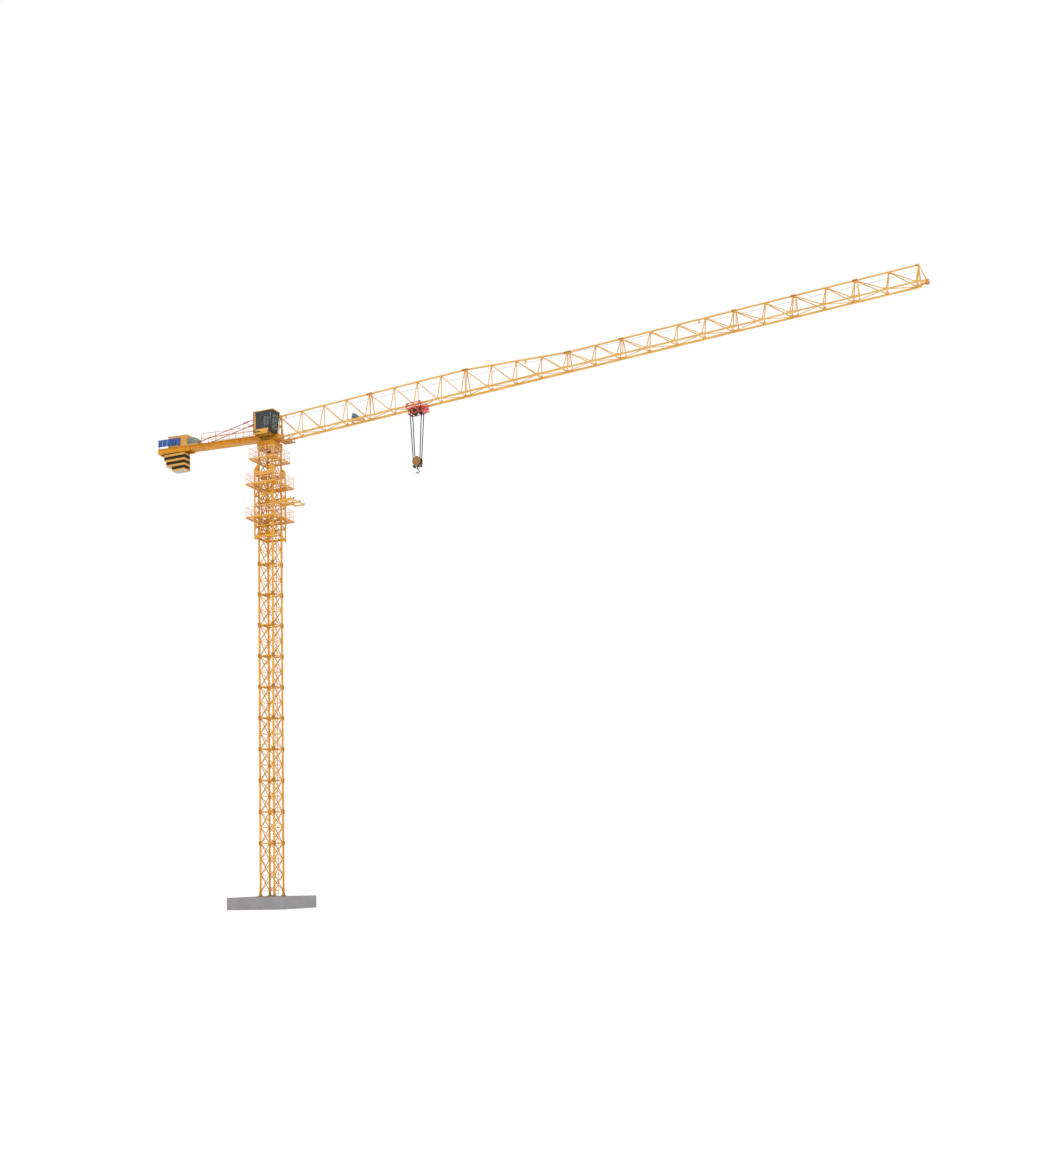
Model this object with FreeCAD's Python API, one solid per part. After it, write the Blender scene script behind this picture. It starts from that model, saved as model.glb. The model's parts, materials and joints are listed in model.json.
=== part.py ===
# Flat-top tower crane on its concrete foundation, as a 1:2 scale model.
# Millimetres at model size: every length is half of the real crane's.
# Origin: centre of the foundation's underside. +X along the jib at rest, +Z up, +Y to the jib's left.
import FreeCAD, Part
import math
import os

os.makedirs("parts", exist_ok=True)
V = FreeCAD.Vector

# ---------------------------------------------------------------- driving dimensions
# foundation
SLAB_SIDE = 3000.0
SLAB_HEIGHT = 575.0
SLAB_CHAMFER = 12.0

# mast: four square legs with X-braced flat sides between them
LEG_SPACING = 770.0        # between leg centres
LEG_SIZE = 70.0
FOOT_HEIGHT = 275.0        # slab top to the first horizontal
PANEL_HEIGHT = 750.0       # one X of bracing
PANEL_COUNT = 28
FIRST_SECTION_PANELS = 3   # the base section; every section above has two
SECTION_PANELS = 2
TOP_PANEL_HEIGHT = 425.0
BRACE_SIZE = 26.0
TIE_SIZE = 22.0
JOINT_TIE_SIZE = 50.0
FACE_THICKNESS = 30.0
COLLAR_SIZE = 16.0         # how far the joint sleeves stand proud of a leg
COLLAR_HEIGHT = 150.0
MAST_BASE = SLAB_HEIGHT
FIRST_TIE = MAST_BASE + FOOT_HEIGHT
MAST_TOP = FIRST_TIE + PANEL_COUNT * PANEL_HEIGHT + TOP_PANEL_HEIGHT

# anchor feet
FOOT_PLATE = 210.0
FOOT_PLATE_THICKNESS = 14.0
GUSSET_HEIGHT = 120.0
GUSSET_THICKNESS = 14.0

# ladder and landings inside the mast
LADDER_WIDTH = 240.0
STILE_SIZE = 20.0
RUNG_PITCH = 150.0
RUNG_SIZE = 12.0
LADDER_OFFSET = 340.0      # ladder plane from the mast axis, towards +Y
LANDING_THICKNESS = 12.0
LANDING_EDGE = 60.0        # landings stop here, short of the ladder

# climbing cage
CAGE_SIDE = 1100.0         # outside
CAGE_POST = 50.0
CAGE_FOOT = MAST_TOP - 4500.0      # heights follow the mast's top
CAGE_SHOULDER = MAST_TOP - 1225.0
CAGE_TOP = MAST_TOP - 825.0
CAGE_BAR = 34.0
CAGE_RING_HEIGHT = 110.0
CAGE_LEVELS = 6            # braced bays on each side
GUIDE_BLOCK = 90.0

# walkways
WALK_SIDE = 1680.0
WALK_LEVELS = (MAST_TOP - 3470.0, MAST_TOP - 1815.0)
UPPER_WALK_SIDE = 1420.0
UPPER_WALK_LEVEL = MAST_TOP - 540.0
DECK_THICKNESS = 25.0
RAIL_HEIGHT = 540.0
RAIL_SIZE = 16.0
RAIL_INSET = 12.0

# section feeding beam on the jib side of the cage
FEED_LEVEL = MAST_TOP - 2695.0
FEED_REACH = 1550.0        # outer cross bar from the mast axis
FEED_CARRIER = 500.0       # between the two long cross bars
FEED_CARRIER_WIDTH = 1250.0
FEED_SPACING = 560.0
FEED_BAR = 56.0

# climbing ram between mast and cage, on the cab side
RAM_RADIUS = 30.0
RAM_FOOT = MAST_TOP - 3850.0
RAM_OFFSET = -170.0        # along X from the mast axis
RAM_STROKE_ROOM = 900.0    # least length of the ram
CROSSHEAD_WIDTH = 700.0
CROSSHEAD_HEIGHT = 110.0

# slewing support, ring and turntable
SUPPORT_SIDE = 875.0
SUPPORT_HEIGHT = 375.0
SUPPORT_WALL = 30.0
ARCH_WIDTH = 110.0
ARCH_HEIGHT = 95.0
ARCH_SPACING = 230.0
RING_RADIUS = 415.0
RING_BORE = 300.0
RING_HEIGHT = 50.0
BEARING_GAP = 0.3
TURNTABLE_REAR = 450.0
TURNTABLE_FRONT = 625.0
TURNTABLE_WIDTH = 620.0
TURNTABLE_TAPER = 100.0
TURNTABLE_BOX = 175.0

# tower head
HEAD_POST = 60.0
HEAD_WIDTH = 480.0
HEAD_TOP = MAST_TOP + 1710.0
HEAD_BRACE = 36.0

# jib: one top chord, two lower chords that carry the trolley
JIB_ROOT_X = 657.0
JIB_ROOT_Z = MAST_TOP + 468.0      # centre of the lower chords at the root
JIB_SLOPE = 3.26           # degrees, rising outwards
JIB_SECTIONS = (5000.0, 5000.0, 5000.0, 2500.0, 5000.0, 2500.0, 2500.0, 2500.0)
JIB_PANEL = 1250.0         # nominal distance between top nodes
JIB_LONG_PANEL = 1340.0    # first panel of each section after the root one
JIB_WIDTH = 500.0          # between lower chord centres
JIB_DEPTH_ROOT = 1150.0
JIB_DEPTH_TIP = 778.0
JIB_TAPER_FROM = 10000.0
JIB_TAPER_TO = 15000.0
NODE_SETBACK = 165.0       # lower nodes stand this far inboard of the top ones
TOP_CHORD = 60.0
TOP_CHORD_TIP = 44.0
LOWER_CHORD = 70.0
LOWER_CHORD_STEPS = ((0.0, 70.0), (15000.0, 60.0), (22500.0, 50.0))   # from station, size
LEDGE_WIDTH = 50.0         # running ledge for the trolley rollers
LEDGE_THICKNESS = 12.0
JIB_BRACE = 32.0
FLOOR_BAR = 24.0
FLOOR_LAP = 30.0           # floor bars run this far into the lower chords before they are trimmed
JOINT_PLATE = 84.0
JOINT_LENGTH = 200.0
GUIDE_STATIONS = (340.0, 13000.0, 21000.0)
GUIDE_DROP = 170.0

# cab, on the right of the jib root
CAB_REAR = -310.0
CAB_SILL = 490.0           # the level floor ends here
CAB_TOE = 665.0            # foot of the windscreen, which leans forward to the brow
CAB_TOE_RISE = 45.0
CAB_BROW = 797.0
BROW_HEIGHT = 50.0
BROW_SETBACK = 37.0
CAB_OUTER_Y = -925.0
CAB_INNER_Y = -345.0
CAB_FLOOR = MAST_TOP + 635.0
CAB_ROOF = MAST_TOP + 1675.0
CAB_WALL = 22.0
CAB_PILLAR = 45.0
GLASS = 8.0
SIDE_WINDOW = (250.0, 580.0, 280.0, 755.0)   # rear, front, sill and head above the floor
QUARTER_WINDOW = (605.0, 100.0, 950.0)       # rear edge, sill and head above the floor
CAB_DECK_EDGE = 30.0
CAB_DECK_PLATE = 30.0
CAB_DECK_DEPTH = 95.0
CAB_BEARER = 40.0

# counter-jib: drawn level from the turntable, then raised to its slope about the root
COUNTER_SLOPE = 2.0        # degrees, rising outwards
GIRDER_TOP = MAST_TOP + 740.0      # at the root
GIRDER_DEPTH = 190.0
GIRDER_WIDTH = 75.0
GIRDER_SPACING = 425.0     # between girder centres
GIRDER_FLANGE = 14.0
GIRDER_WEB = 20.0
GIRDER_END = 4800.0        # the tail frame takes over here, from the mast axis
TAIL_END = 6530.0
TAIL_DEPTH = 250.0
TAIL_LAP = 200.0
CROSS_PITCH = 750.0
CROSS_BAR = 40.0
COUNTER_DECK_WIDTH = 560.0
COUNTER_DECK_THICKNESS = 12.0
COUNTER_RAIL_END = 3850.0
COUNTER_RAIL_PITCH = 750.0
COUNTER_RAIL_HEIGHT = 500.0

# tie bars
TIE_RADIUS = 17.0
TIE_LUG_SIZE = 60.0
TIE_FOOT = 4050.0          # lower pin, from the mast axis
TIE_FOOT_RISE = 90.0
TIE_SPACING = 450.0
CONNECTOR_RADIUS = 34.0
CONNECTOR_LENGTH = 270.0
CONNECTOR_FROM_TOP = 670.0

# machinery on the counter-jib
WINCH_FRONT = 4110.0
WINCH_LENGTH = 640.0
WINCH_WIDTH = 500.0
WINCH_HEIGHT = 410.0
WINCH_BEVEL = 160.0        # length of the sloping front of the housing
WINCH_ROPE_SHARE = 0.62    # where on the housing's height the rope leaves it
CABINET_GAP = 25.0
CABINET_LENGTH = 1150.0
CABINET_WIDTH = 450.0
CABINET_HEIGHT = 570.0
SIGN_FRONT = 5180.0
SIGN_PANELS = 5
SIGN_PANEL_LENGTH = 240.0
SIGN_GAP = 30.0
SIGN_HEIGHT = 350.0
SIGN_LIFT = 105.0
SIGN_THICKNESS = 20.0

# counterweights: (slabs, slab thickness, hanging depth) from the mast outwards
WEIGHT_GROUPS = ((4, 188.0, 920.0), (2, 174.0, 683.0), (1, 122.0, 380.0))
WEIGHT_FRONT = 4920.0
WEIGHT_WIDTH = 450.0
WEIGHT_GAP = 4.0

# service platform under the jib root
SERVICE_FRONT = 1310.0
SERVICE_REAR = 740.0
SERVICE_WIDTH = 450.0
SERVICE_LEVEL = MAST_TOP + 275.0

# trolley winch on the lower chords
TROLLEY_WINCH_FROM = 3880.0
TROLLEY_WINCH_LENGTH = 700.0
TROLLEY_WINCH_HOUSING = 440.0
TROLLEY_WINCH_HEIGHT = 300.0
TROLLEY_WINCH_WIDTH = 240.0

# jib tip head
TIP_LENGTH = 250.0         # boom's end to the nose drum's axis
TIP_PLATE = 16.0
TIP_PLATE_TOP = 55.0
TIP_POST = 60.0
TIP_DRUM_RADIUS = 75.0
TIP_DRUM_WIDTH = 240.0
TIP_ROPE_SHARE = 0.65      # the hoist rope's anchor, as a share of the boom's depth

# ropes
ROPE_RADIUS = 13.0
ROPE_GAP = 0.5             # between a fall and the sheaves it leaves
LINE_RADIUS = 6.0

# trolley
TROLLEY_X = 8075.0         # rest position, from the mast axis
TROLLEY_LENGTH = 760.0
ROLLER_RADIUS = 45.0
ROLLER_WIDTH = 34.0
ROLLER_SIDE_GAP = 7.0
ROLLER_SEAT_GAP = 0.3
ROLLER_STATION = 310.0
AXLE_RADIUS = 12.0
SIDE_PLATE = 12.0
SIDE_PLATE_TOP = 85.0
SIDE_PLATE_BOTTOM = 170.0
CROSS_BEAM = 60.0
CHEEK_SPACING = 380.0
CHEEK_TOP = 110.0
CHEEK_BOTTOM = 380.0
CHEEK_THICKNESS = 14.0
SHEAVE_RADIUS = 130.0
SHEAVE_WIDTH = 30.0
SHEAVE_STATION = 145.0
SHEAVE_DROP = 230.0
SHEAVE_OFFSET = 125.0
SHAFT_RADIUS = 16.0
BASKET_LENGTH = 220.0
BASKET_LEFT = 80.0
BASKET_RIGHT = -240.0
BASKET_TOP = 80.0
BASKET_BOTTOM = 400.0
BASKET_BAR = 18.0

# hook block and hook
BLOCK_SHEAVE_Z = MAST_TOP - 1680.0
BLOCK_SHEAVE_RADIUS = 150.0
BLOCK_SHEAVE_OFFSET = 90.0
BLOCK_CHEEK_GAP = 10.0
BLOCK_CHEEK = 14.0
BLOCK_DROP = 290.0
BLOCK_RISE = 130.0
BLOCK_HALF_LENGTH = 205.0
CROSSHEAD_SIZE = 90.0
HOOK_SHANK = 26.0
HOOK_GAP = 0.4
HOOK_DROP = 345.0
HOOK_BOWL = 62.0
HOOK_THICKNESS = 40.0

# ---------------------------------------------------------------- heights that follow
SUPPORT_TOP = MAST_TOP + SUPPORT_HEIGHT
RING_TOP = SUPPORT_TOP + RING_HEIGHT
TURNTABLE_BOTTOM = RING_TOP + BEARING_GAP
TURNTABLE_TOP = TURNTABLE_BOTTOM + TURNTABLE_TAPER + TURNTABLE_BOX
LEG_CENTRE = LEG_SPACING / 2
LEG_INNER = LEG_CENTRE - LEG_SIZE / 2
LEG_OUTER = LEG_CENTRE + LEG_SIZE / 2
FACE_INNER = LEG_CENTRE - FACE_THICKNESS / 2
COUNTER_DECK_TOP = GIRDER_TOP + COUNTER_DECK_THICKNESS
JIB_LENGTH = sum(JIB_SECTIONS)
JIB_HALF = JIB_WIDTH / 2
LEDGE_TOP = -LOWER_CHORD / 2 + LEDGE_THICKNESS
CHORD_OUTER = JIB_HALF + LOWER_CHORD / 2


# ---------------------------------------------------------------- shape helpers
def box(x0, x1, y0, y1, z0, z1):
    """A block between two corners, given in any order."""
    low = V(min(x0, x1), min(y0, y1), min(z0, z1))
    return Part.makeBox(abs(x1 - x0), abs(y1 - y0), abs(z1 - z0), low)


def bar(start, end, width, height=None):
    """A straight rectangular bar; width is measured level, height across it."""
    start, end = V(*start), V(*end)
    height = height or width
    run = end - start
    length = run.Length
    along = run.normalize()
    level = V(0, 0, 1).cross(along)
    if level.Length < 1e-6:
        level = V(0, 1, 0)
    level = level.normalize()
    upward = along.cross(level)
    blank = Part.makeBox(length, width, height, V(0, -width / 2, -height / 2))
    turn = FreeCAD.Matrix(along.x, level.x, upward.x, start.x,
                          along.y, level.y, upward.y, start.y,
                          along.z, level.z, upward.z, start.z,
                          0, 0, 0, 1)
    blank.Placement = FreeCAD.Placement(turn)
    return blank


def rod(start, end, radius):
    start, end = V(*start), V(*end)
    return Part.makeCylinder(radius, (end - start).Length, start, end - start)


def fuse(shapes):
    """One shape from bars that cross."""
    shapes = list(shapes)
    return shapes[0] if len(shapes) == 1 else shapes[0].multiFuse(shapes[1:])


def prism(points, depth):
    """A flat outline of 3-D points, pushed along a vector."""
    wire = Part.makePolygon([V(*p) for p in points] + [V(*points[0])])
    return Part.Face(wire).extrude(V(*depth))


def tilted(shape):
    """Moves a shape from the jib's own frame to its place on the crane."""
    placed = shape.copy()
    placed.Placement = FreeCAD.Placement(V(JIB_ROOT_X, 0, JIB_ROOT_Z),
                                         FreeCAD.Rotation(V(0, 1, 0), -JIB_SLOPE))
    return placed


def raised(shape):
    """Moves a shape drawn level on the counter-jib to its place on the slope."""
    placed = shape.copy()
    placed.Placement = FreeCAD.Placement(V(0, 0, 0), FreeCAD.Rotation(V(0, 1, 0), COUNTER_SLOPE),
                                         V(-TURNTABLE_REAR, 0, GIRDER_TOP)).multiply(placed.Placement)
    return placed


def raised_point(x, y, z):
    return raised(Part.Vertex(V(x, y, z))).Point


def save(name, *shapes):
    """Writes one node; its solids are kept apart unless they were fused before."""
    solids = [s for shape in shapes for s in shape.Solids]
    whole = solids[0] if len(solids) == 1 else Part.makeCompound(solids)
    if not solids or not whole.isValid():
        raise ValueError("bad solid in " + name)
    whole.exportStep("parts/" + name + ".step")
    print(f"{name:28s} {len(solids):3d} solids {sum(s.Volume for s in solids) / 1e9:9.5f} m3")


# ---------------------------------------------------------------- foundation and feet
def build_foundation():
    half = SLAB_SIDE / 2
    slab = box(-half, half, -half, half, 0, SLAB_HEIGHT)
    top_edges = [e for e in slab.Edges if min(v.Z for v in e.Vertexes) > SLAB_HEIGHT - 1]
    save("foundation", slab.makeChamfer(SLAB_CHAMFER, top_edges))

    feet = []
    plate_top = MAST_BASE + FOOT_PLATE_THICKNESS
    for sx in (1, -1):
        for sy in (1, -1):
            x, y = sx * LEG_CENTRE, sy * LEG_CENTRE
            reach = FOOT_PLATE / 2
            plate = box(x - reach, x + reach, y - reach, y + reach, MAST_BASE, plate_top)
            pieces = [plate]
            for dx, dy in ((sx, 0), (0, sy)):
                outer = LEG_SIZE / 2
                side = V(dy, dx, 0) * (GUSSET_THICKNESS / 2)
                base = V(x + dx * outer, y + dy * outer, plate_top) - side
                tip = base + V(dx, dy, 0) * (reach - outer)
                upper = base + V(0, 0, GUSSET_HEIGHT)
                pieces.append(prism([tuple(base), tuple(tip), tuple(upper)], tuple(side * 2)))
            feet.append(fuse(pieces))
    save("anchor_feet", *feet)


# ---------------------------------------------------------------- mast
def section_joints():
    """Heights where mast sections are bolted together."""
    count = (PANEL_COUNT - FIRST_SECTION_PANELS) // SECTION_PANELS + 1
    first = FIRST_TIE + FIRST_SECTION_PANELS * PANEL_HEIGHT
    return [first + k * SECTION_PANELS * PANEL_HEIGHT for k in range(count)]


def build_legs():
    foot = MAST_BASE + FOOT_PLATE_THICKNESS
    legs = []
    for sx, sy in ((1, 1), (1, -1), (-1, 1), (-1, -1)):
        pieces = [box(sx * LEG_INNER, sx * LEG_OUTER, sy * LEG_INNER, sy * LEG_OUTER, foot, MAST_TOP)]
        for z in [foot + COLLAR_HEIGHT / 2 + GUSSET_HEIGHT] + section_joints():
            if CAGE_FOOT - COLLAR_HEIGHT < z < CAGE_TOP + COLLAR_HEIGHT:
                continue
            grow = LEG_OUTER + COLLAR_SIZE
            pieces.append(box(sx * (LEG_INNER + 8), sx * grow, sy * (LEG_INNER + 8), sy * grow,
                              z - COLLAR_HEIGHT / 2, z + COLLAR_HEIGHT / 2))
        legs.append(fuse(pieces))
    save("mast_legs", *legs)


def mast_side():
    """One flat side of bracing in the plane Y = 0, to fit between two legs."""
    levels = [FIRST_TIE + k * PANEL_HEIGHT for k in range(PANEL_COUNT + 1)]
    joints = section_joints()
    over = 40.0
    slope = PANEL_HEIGHT / (2 * LEG_INNER)
    bars = []
    for z in levels:
        size = JOINT_TIE_SIZE if any(abs(z - j) < 1 for j in joints) else TIE_SIZE
        bars.append(bar((-LEG_INNER, 0, z), (LEG_INNER, 0, z), FACE_THICKNESS, size))
    bars.append(bar((-LEG_INNER, 0, MAST_TOP - TIE_SIZE), (LEG_INNER, 0, MAST_TOP - TIE_SIZE),
                    FACE_THICKNESS, 2 * TIE_SIZE))
    for low, high in zip(levels, levels[1:]):
        for s in (1, -1):
            bars.append(bar((-s * (LEG_INNER + over), 0, low - over * slope),
                            (s * (LEG_INNER + over), 0, high + over * slope),
                            FACE_THICKNESS, BRACE_SIZE))
    low, high = levels[-1], MAST_TOP - TIE_SIZE
    for s in (1, -1):
        bars.append(bar((-s * LEG_INNER, 0, low), (s * LEG_INNER, 0, high), FACE_THICKNESS, BRACE_SIZE))
    window = box(-LEG_INNER, LEG_INNER, -FACE_THICKNESS, FACE_THICKNESS, MAST_BASE, MAST_TOP)
    return fuse(bars).common(window)


def build_mast_sides():
    side = mast_side()
    places = {"front": (V(LEG_CENTRE, 0, 0), 90), "rear": (V(-LEG_CENTRE, 0, 0), 90),
              "left": (V(0, LEG_CENTRE, 0), 0), "right": (V(0, -LEG_CENTRE, 0), 0)}
    for name, (shift, turn) in places.items():
        piece = side.copy()
        piece.Placement = FreeCAD.Placement(shift, FreeCAD.Rotation(V(0, 0, 1), turn))
        save("mast_lattice_" + name, piece)


def build_ladder_and_landings():
    landings = []
    for z in section_joints():
        landings.append(box(-LEG_INNER, LEG_INNER, -FACE_INNER, LANDING_EDGE,
                            z - LANDING_THICKNESS / 2, z + LANDING_THICKNESS / 2))
    save("rest_landings", *landings)

    top = MAST_TOP - 2 * TIE_SIZE
    pieces = []
    for s in (1, -1):
        x = s * LADDER_WIDTH / 2
        pieces.append(box(x - STILE_SIZE / 2, x + STILE_SIZE / 2, LADDER_OFFSET - STILE_SIZE / 2,
                          LADDER_OFFSET + STILE_SIZE / 2, MAST_BASE, top))
        for z in section_joints():
            pieces.append(box(x - STILE_SIZE / 2, x + STILE_SIZE / 2, LADDER_OFFSET, FACE_INNER,
                              z - STILE_SIZE, z + STILE_SIZE))
    z = MAST_BASE + RUNG_PITCH
    while z < top - RUNG_SIZE:
        pieces.append(bar((-LADDER_WIDTH / 2, LADDER_OFFSET, z), (LADDER_WIDTH / 2, LADDER_OFFSET, z), RUNG_SIZE))
        z += RUNG_PITCH
    save("mast_ladder", fuse(pieces))


# ---------------------------------------------------------------- climbing cage
def cage_levels():
    height = CAGE_SHOULDER - CAGE_FOOT - CAGE_RING_HEIGHT
    return [CAGE_FOOT + CAGE_RING_HEIGHT / 2 + 80 + k * (height - 80) / CAGE_LEVELS
            for k in range(CAGE_LEVELS + 1)]


def cage_bracing(half, width):
    """Ties and zigzag bars of one cage side in the plane Y = 0."""
    levels = cage_levels()
    bars = []
    for k, z in enumerate(levels):
        size = CAGE_RING_HEIGHT if k in (0, CAGE_LEVELS) else CAGE_BAR * 1.6
        bars.append(bar((-half, 0, z), (half, 0, z), width, size))
    for k, (low, high) in enumerate(zip(levels, levels[1:])):
        s = 1 if k % 2 else -1
        bars.append(bar((-s * half, 0, low), (0, 0, high), width, CAGE_BAR))
        bars.append(bar((s * half, 0, low), (0, 0, high), width, CAGE_BAR))
    return bars


def build_cage():
    half = CAGE_SIDE / 2
    post = half - CAGE_POST / 2
    inner = half - CAGE_POST
    window = box(-inner, inner, -half, half, CAGE_FOOT, CAGE_SHOULDER)
    for name, s in (("left", 1), ("right", -1)):
        braces = fuse(cage_bracing(inner + 20, CAGE_BAR)).common(window)
        braces.Placement = FreeCAD.Placement(V(0, s * post, 0), FreeCAD.Rotation())
        pieces = [braces]
        for sx in (1, -1):
            pieces.append(box(sx * inner, sx * half, s * inner, s * half, CAGE_FOOT, CAGE_SHOULDER))
            for z in (cage_levels()[0], cage_levels()[-1]):
                x = sx * LEG_CENTRE
                pieces.append(box(x - GUIDE_BLOCK / 3, x + GUIDE_BLOCK / 3, s * LEG_OUTER,
                                  s * (post + CAGE_BAR / 2), z - GUIDE_BLOCK / 2, z + GUIDE_BLOCK / 2))
        save("cage_side_" + name, fuse(pieces))

    rear = fuse(cage_bracing(inner + 20, CAGE_BAR)).common(window)
    rear.Placement = FreeCAD.Placement(V(-post, 0, 0), FreeCAD.Rotation(V(0, 0, 1), 90))
    save("cage_side_rear", rear)

    # the head: a shouldered plate on each flank and a ring that closes on the mast legs
    flanks = []
    shoulder = CAGE_TOP - CAGE_SHOULDER
    for s in (1, -1):
        y0, y1 = s * LEG_OUTER, s * half
        outline = Part.makePolygon([V(-half, y0, CAGE_SHOULDER), V(half, y0, CAGE_SHOULDER)])
        arc_front = Part.Arc(V(half, y0, CAGE_SHOULDER),
                             V(half - 0.293 * (half - LEG_INNER), y0, CAGE_SHOULDER + 0.707 * shoulder),
                             V(LEG_INNER, y0, CAGE_TOP)).toShape()
        across = Part.makeLine(V(LEG_INNER, y0, CAGE_TOP), V(-LEG_INNER, y0, CAGE_TOP))
        arc_rear = Part.Arc(V(-LEG_INNER, y0, CAGE_TOP),
                            V(-half + 0.293 * (half - LEG_INNER), y0, CAGE_SHOULDER + 0.707 * shoulder),
                            V(-half, y0, CAGE_SHOULDER)).toShape()
        wire = Part.Wire([outline.Edges[0], arc_front, across, arc_rear])
        plate = Part.Face(wire).extrude(V(0, y1 - y0, 0))
        rim = CAGE_POST
        hole = box(-LEG_INNER, LEG_INNER, s * (LEG_OUTER - rim), s * (half + rim),
                   CAGE_SHOULDER + rim, CAGE_TOP + rim)
        flanks.append(plate.cut(hole))
    bridge = box(-half, -LEG_OUTER, -LEG_OUTER, LEG_OUTER, CAGE_SHOULDER, CAGE_SHOULDER + CAGE_RING_HEIGHT)
    save("cage_head", fuse(flanks + [bridge]))


def ring_deck(outer, inner, level):
    half = outer / 2
    return box(-half, half, -half, half, level - DECK_THICKNESS, level).cut(
        box(-inner, inner, -inner, inner, level - 2 * DECK_THICKNESS, level + 1))


def ring_rail(outer, level, posts_each_side):
    """Guard rail: posts, two rails and a toe board bar round a square deck."""
    half = outer / 2 - RAIL_INSET - RAIL_SIZE / 2
    pieces = []
    for z in (level + RAIL_HEIGHT - RAIL_SIZE / 2, level + RAIL_HEIGHT / 2, level + 3 * RAIL_SIZE):
        reach = half + RAIL_SIZE / 2
        frame = box(-reach, reach, -reach, reach, z - RAIL_SIZE / 2, z + RAIL_SIZE / 2)
        gap = half - RAIL_SIZE / 2
        pieces.append(frame.cut(box(-gap, gap, -gap, gap, z - RAIL_SIZE, z + RAIL_SIZE)))
    step = 2 * half / (posts_each_side - 1)
    for k in range(posts_each_side):
        d = -half + k * step
        for x, y in ((d, half), (d, -half), (half, d), (-half, d)):
            pieces.append(box(x - RAIL_SIZE / 2, x + RAIL_SIZE / 2, y - RAIL_SIZE / 2, y + RAIL_SIZE / 2,
                              level, level + RAIL_HEIGHT))
    return fuse(pieces)


def build_walkways():
    decks = [ring_deck(WALK_SIDE, CAGE_SIDE / 2, z) for z in WALK_LEVELS]
    rails = [ring_rail(WALK_SIDE, z, 5) for z in WALK_LEVELS]
    decks.append(ring_deck(UPPER_WALK_SIDE, LEG_OUTER, UPPER_WALK_LEVEL))
    rails.append(ring_rail(UPPER_WALK_SIDE, UPPER_WALK_LEVEL, 4))
    save("walkway_decks", *decks)
    save("walkway_rails", *rails)


def build_feeding_beam():
    face = CAGE_SIDE / 2
    under = FEED_LEVEL - FEED_BAR
    pieces = []
    for s in (1, -1):
        y = s * FEED_SPACING / 2
        pieces.append(bar((face, y, FEED_LEVEL), (FEED_REACH, y, FEED_LEVEL), FEED_BAR * 0.7, FEED_BAR))
    pieces.append(bar((face + FEED_BAR / 2, -face, FEED_LEVEL), (face + FEED_BAR / 2, face, FEED_LEVEL),
                      FEED_BAR, FEED_BAR))
    for x in (FEED_REACH, FEED_REACH - FEED_CARRIER):
        half = FEED_CARRIER_WIDTH / 2
        pieces.append(bar((x, -half, under), (x, half, under), FEED_BAR * 0.8, FEED_BAR))
    for s in (1, -1):
        y = s * (FEED_CARRIER_WIDTH / 2 - FEED_BAR / 2)
        pieces.append(bar((FEED_REACH, y, under), (FEED_REACH - FEED_CARRIER, y, under), FEED_BAR * 0.8, FEED_BAR))
    save("feeding_beam", fuse(pieces))


def build_ram():
    y = -(LEG_OUTER + CAGE_SIDE / 2 - CAGE_POST) / 2
    top = min(z for z in cage_levels() if z > RAM_FOOT + RAM_STROKE_ROOM)
    cage_face = CAGE_SIDE / 2 - CAGE_POST / 2 - CAGE_BAR / 2
    half = 3 * RAM_RADIUS
    bracket = box(RAM_OFFSET - half, RAM_OFFSET + half, -LEG_OUTER - 2, -cage_face, top - 60, top + 20)
    reach = CROSSHEAD_WIDTH / 2 + LEG_SIZE
    crosshead = box(-reach, reach, -LEG_OUTER, y - 20, RAM_FOOT - CROSSHEAD_HEIGHT / 2,
                    RAM_FOOT + CROSSHEAD_HEIGHT / 2)
    cylinder = rod((RAM_OFFSET, y, RAM_FOOT), (RAM_OFFSET, y, top - 20), RAM_RADIUS)
    save("climbing_ram", fuse([cylinder, bracket, crosshead]))


# ---------------------------------------------------------------- slewing support and ring
def build_support():
    half = SUPPORT_SIDE / 2
    shell = box(-half, half, -half, half, MAST_TOP, SUPPORT_TOP)
    inner = half - SUPPORT_WALL
    shell = shell.cut(box(-inner, inner, -inner, inner, MAST_TOP + SUPPORT_WALL, SUPPORT_TOP - SUPPORT_WALL))
    throat = LEG_INNER - 40
    shell = shell.cut(box(-throat, throat, -throat, throat, MAST_TOP - 1, MAST_TOP + 2 * SUPPORT_WALL))
    shell = shell.cut(Part.makeCylinder(RING_BORE, 4 * SUPPORT_WALL, V(0, 0, SUPPORT_TOP - 2 * SUPPORT_WALL)))
    radius = ARCH_WIDTH / 2
    sill = MAST_TOP + SUPPORT_WALL + 15
    for d in (-ARCH_SPACING / 2, ARCH_SPACING / 2):
        straight = ARCH_HEIGHT - radius
        for turn in (0, 90):
            arch = fuse([box(d - radius, d + radius, -half - 1, half + 1, sill, sill + straight),
                         rod((d, -half - 1, sill + straight), (d, half + 1, sill + straight), radius)])
            arch.Placement = FreeCAD.Placement(V(0, 0, 0), FreeCAD.Rotation(V(0, 0, 1), turn))
            shell = shell.cut(arch)
    save("slewing_support", shell)
    ring = Part.makeCylinder(RING_RADIUS, RING_HEIGHT, V(0, 0, SUPPORT_TOP))
    save("slewing_ring", ring.cut(Part.makeCylinder(RING_BORE, RING_HEIGHT + 2, V(0, 0, SUPPORT_TOP - 1))))


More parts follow.
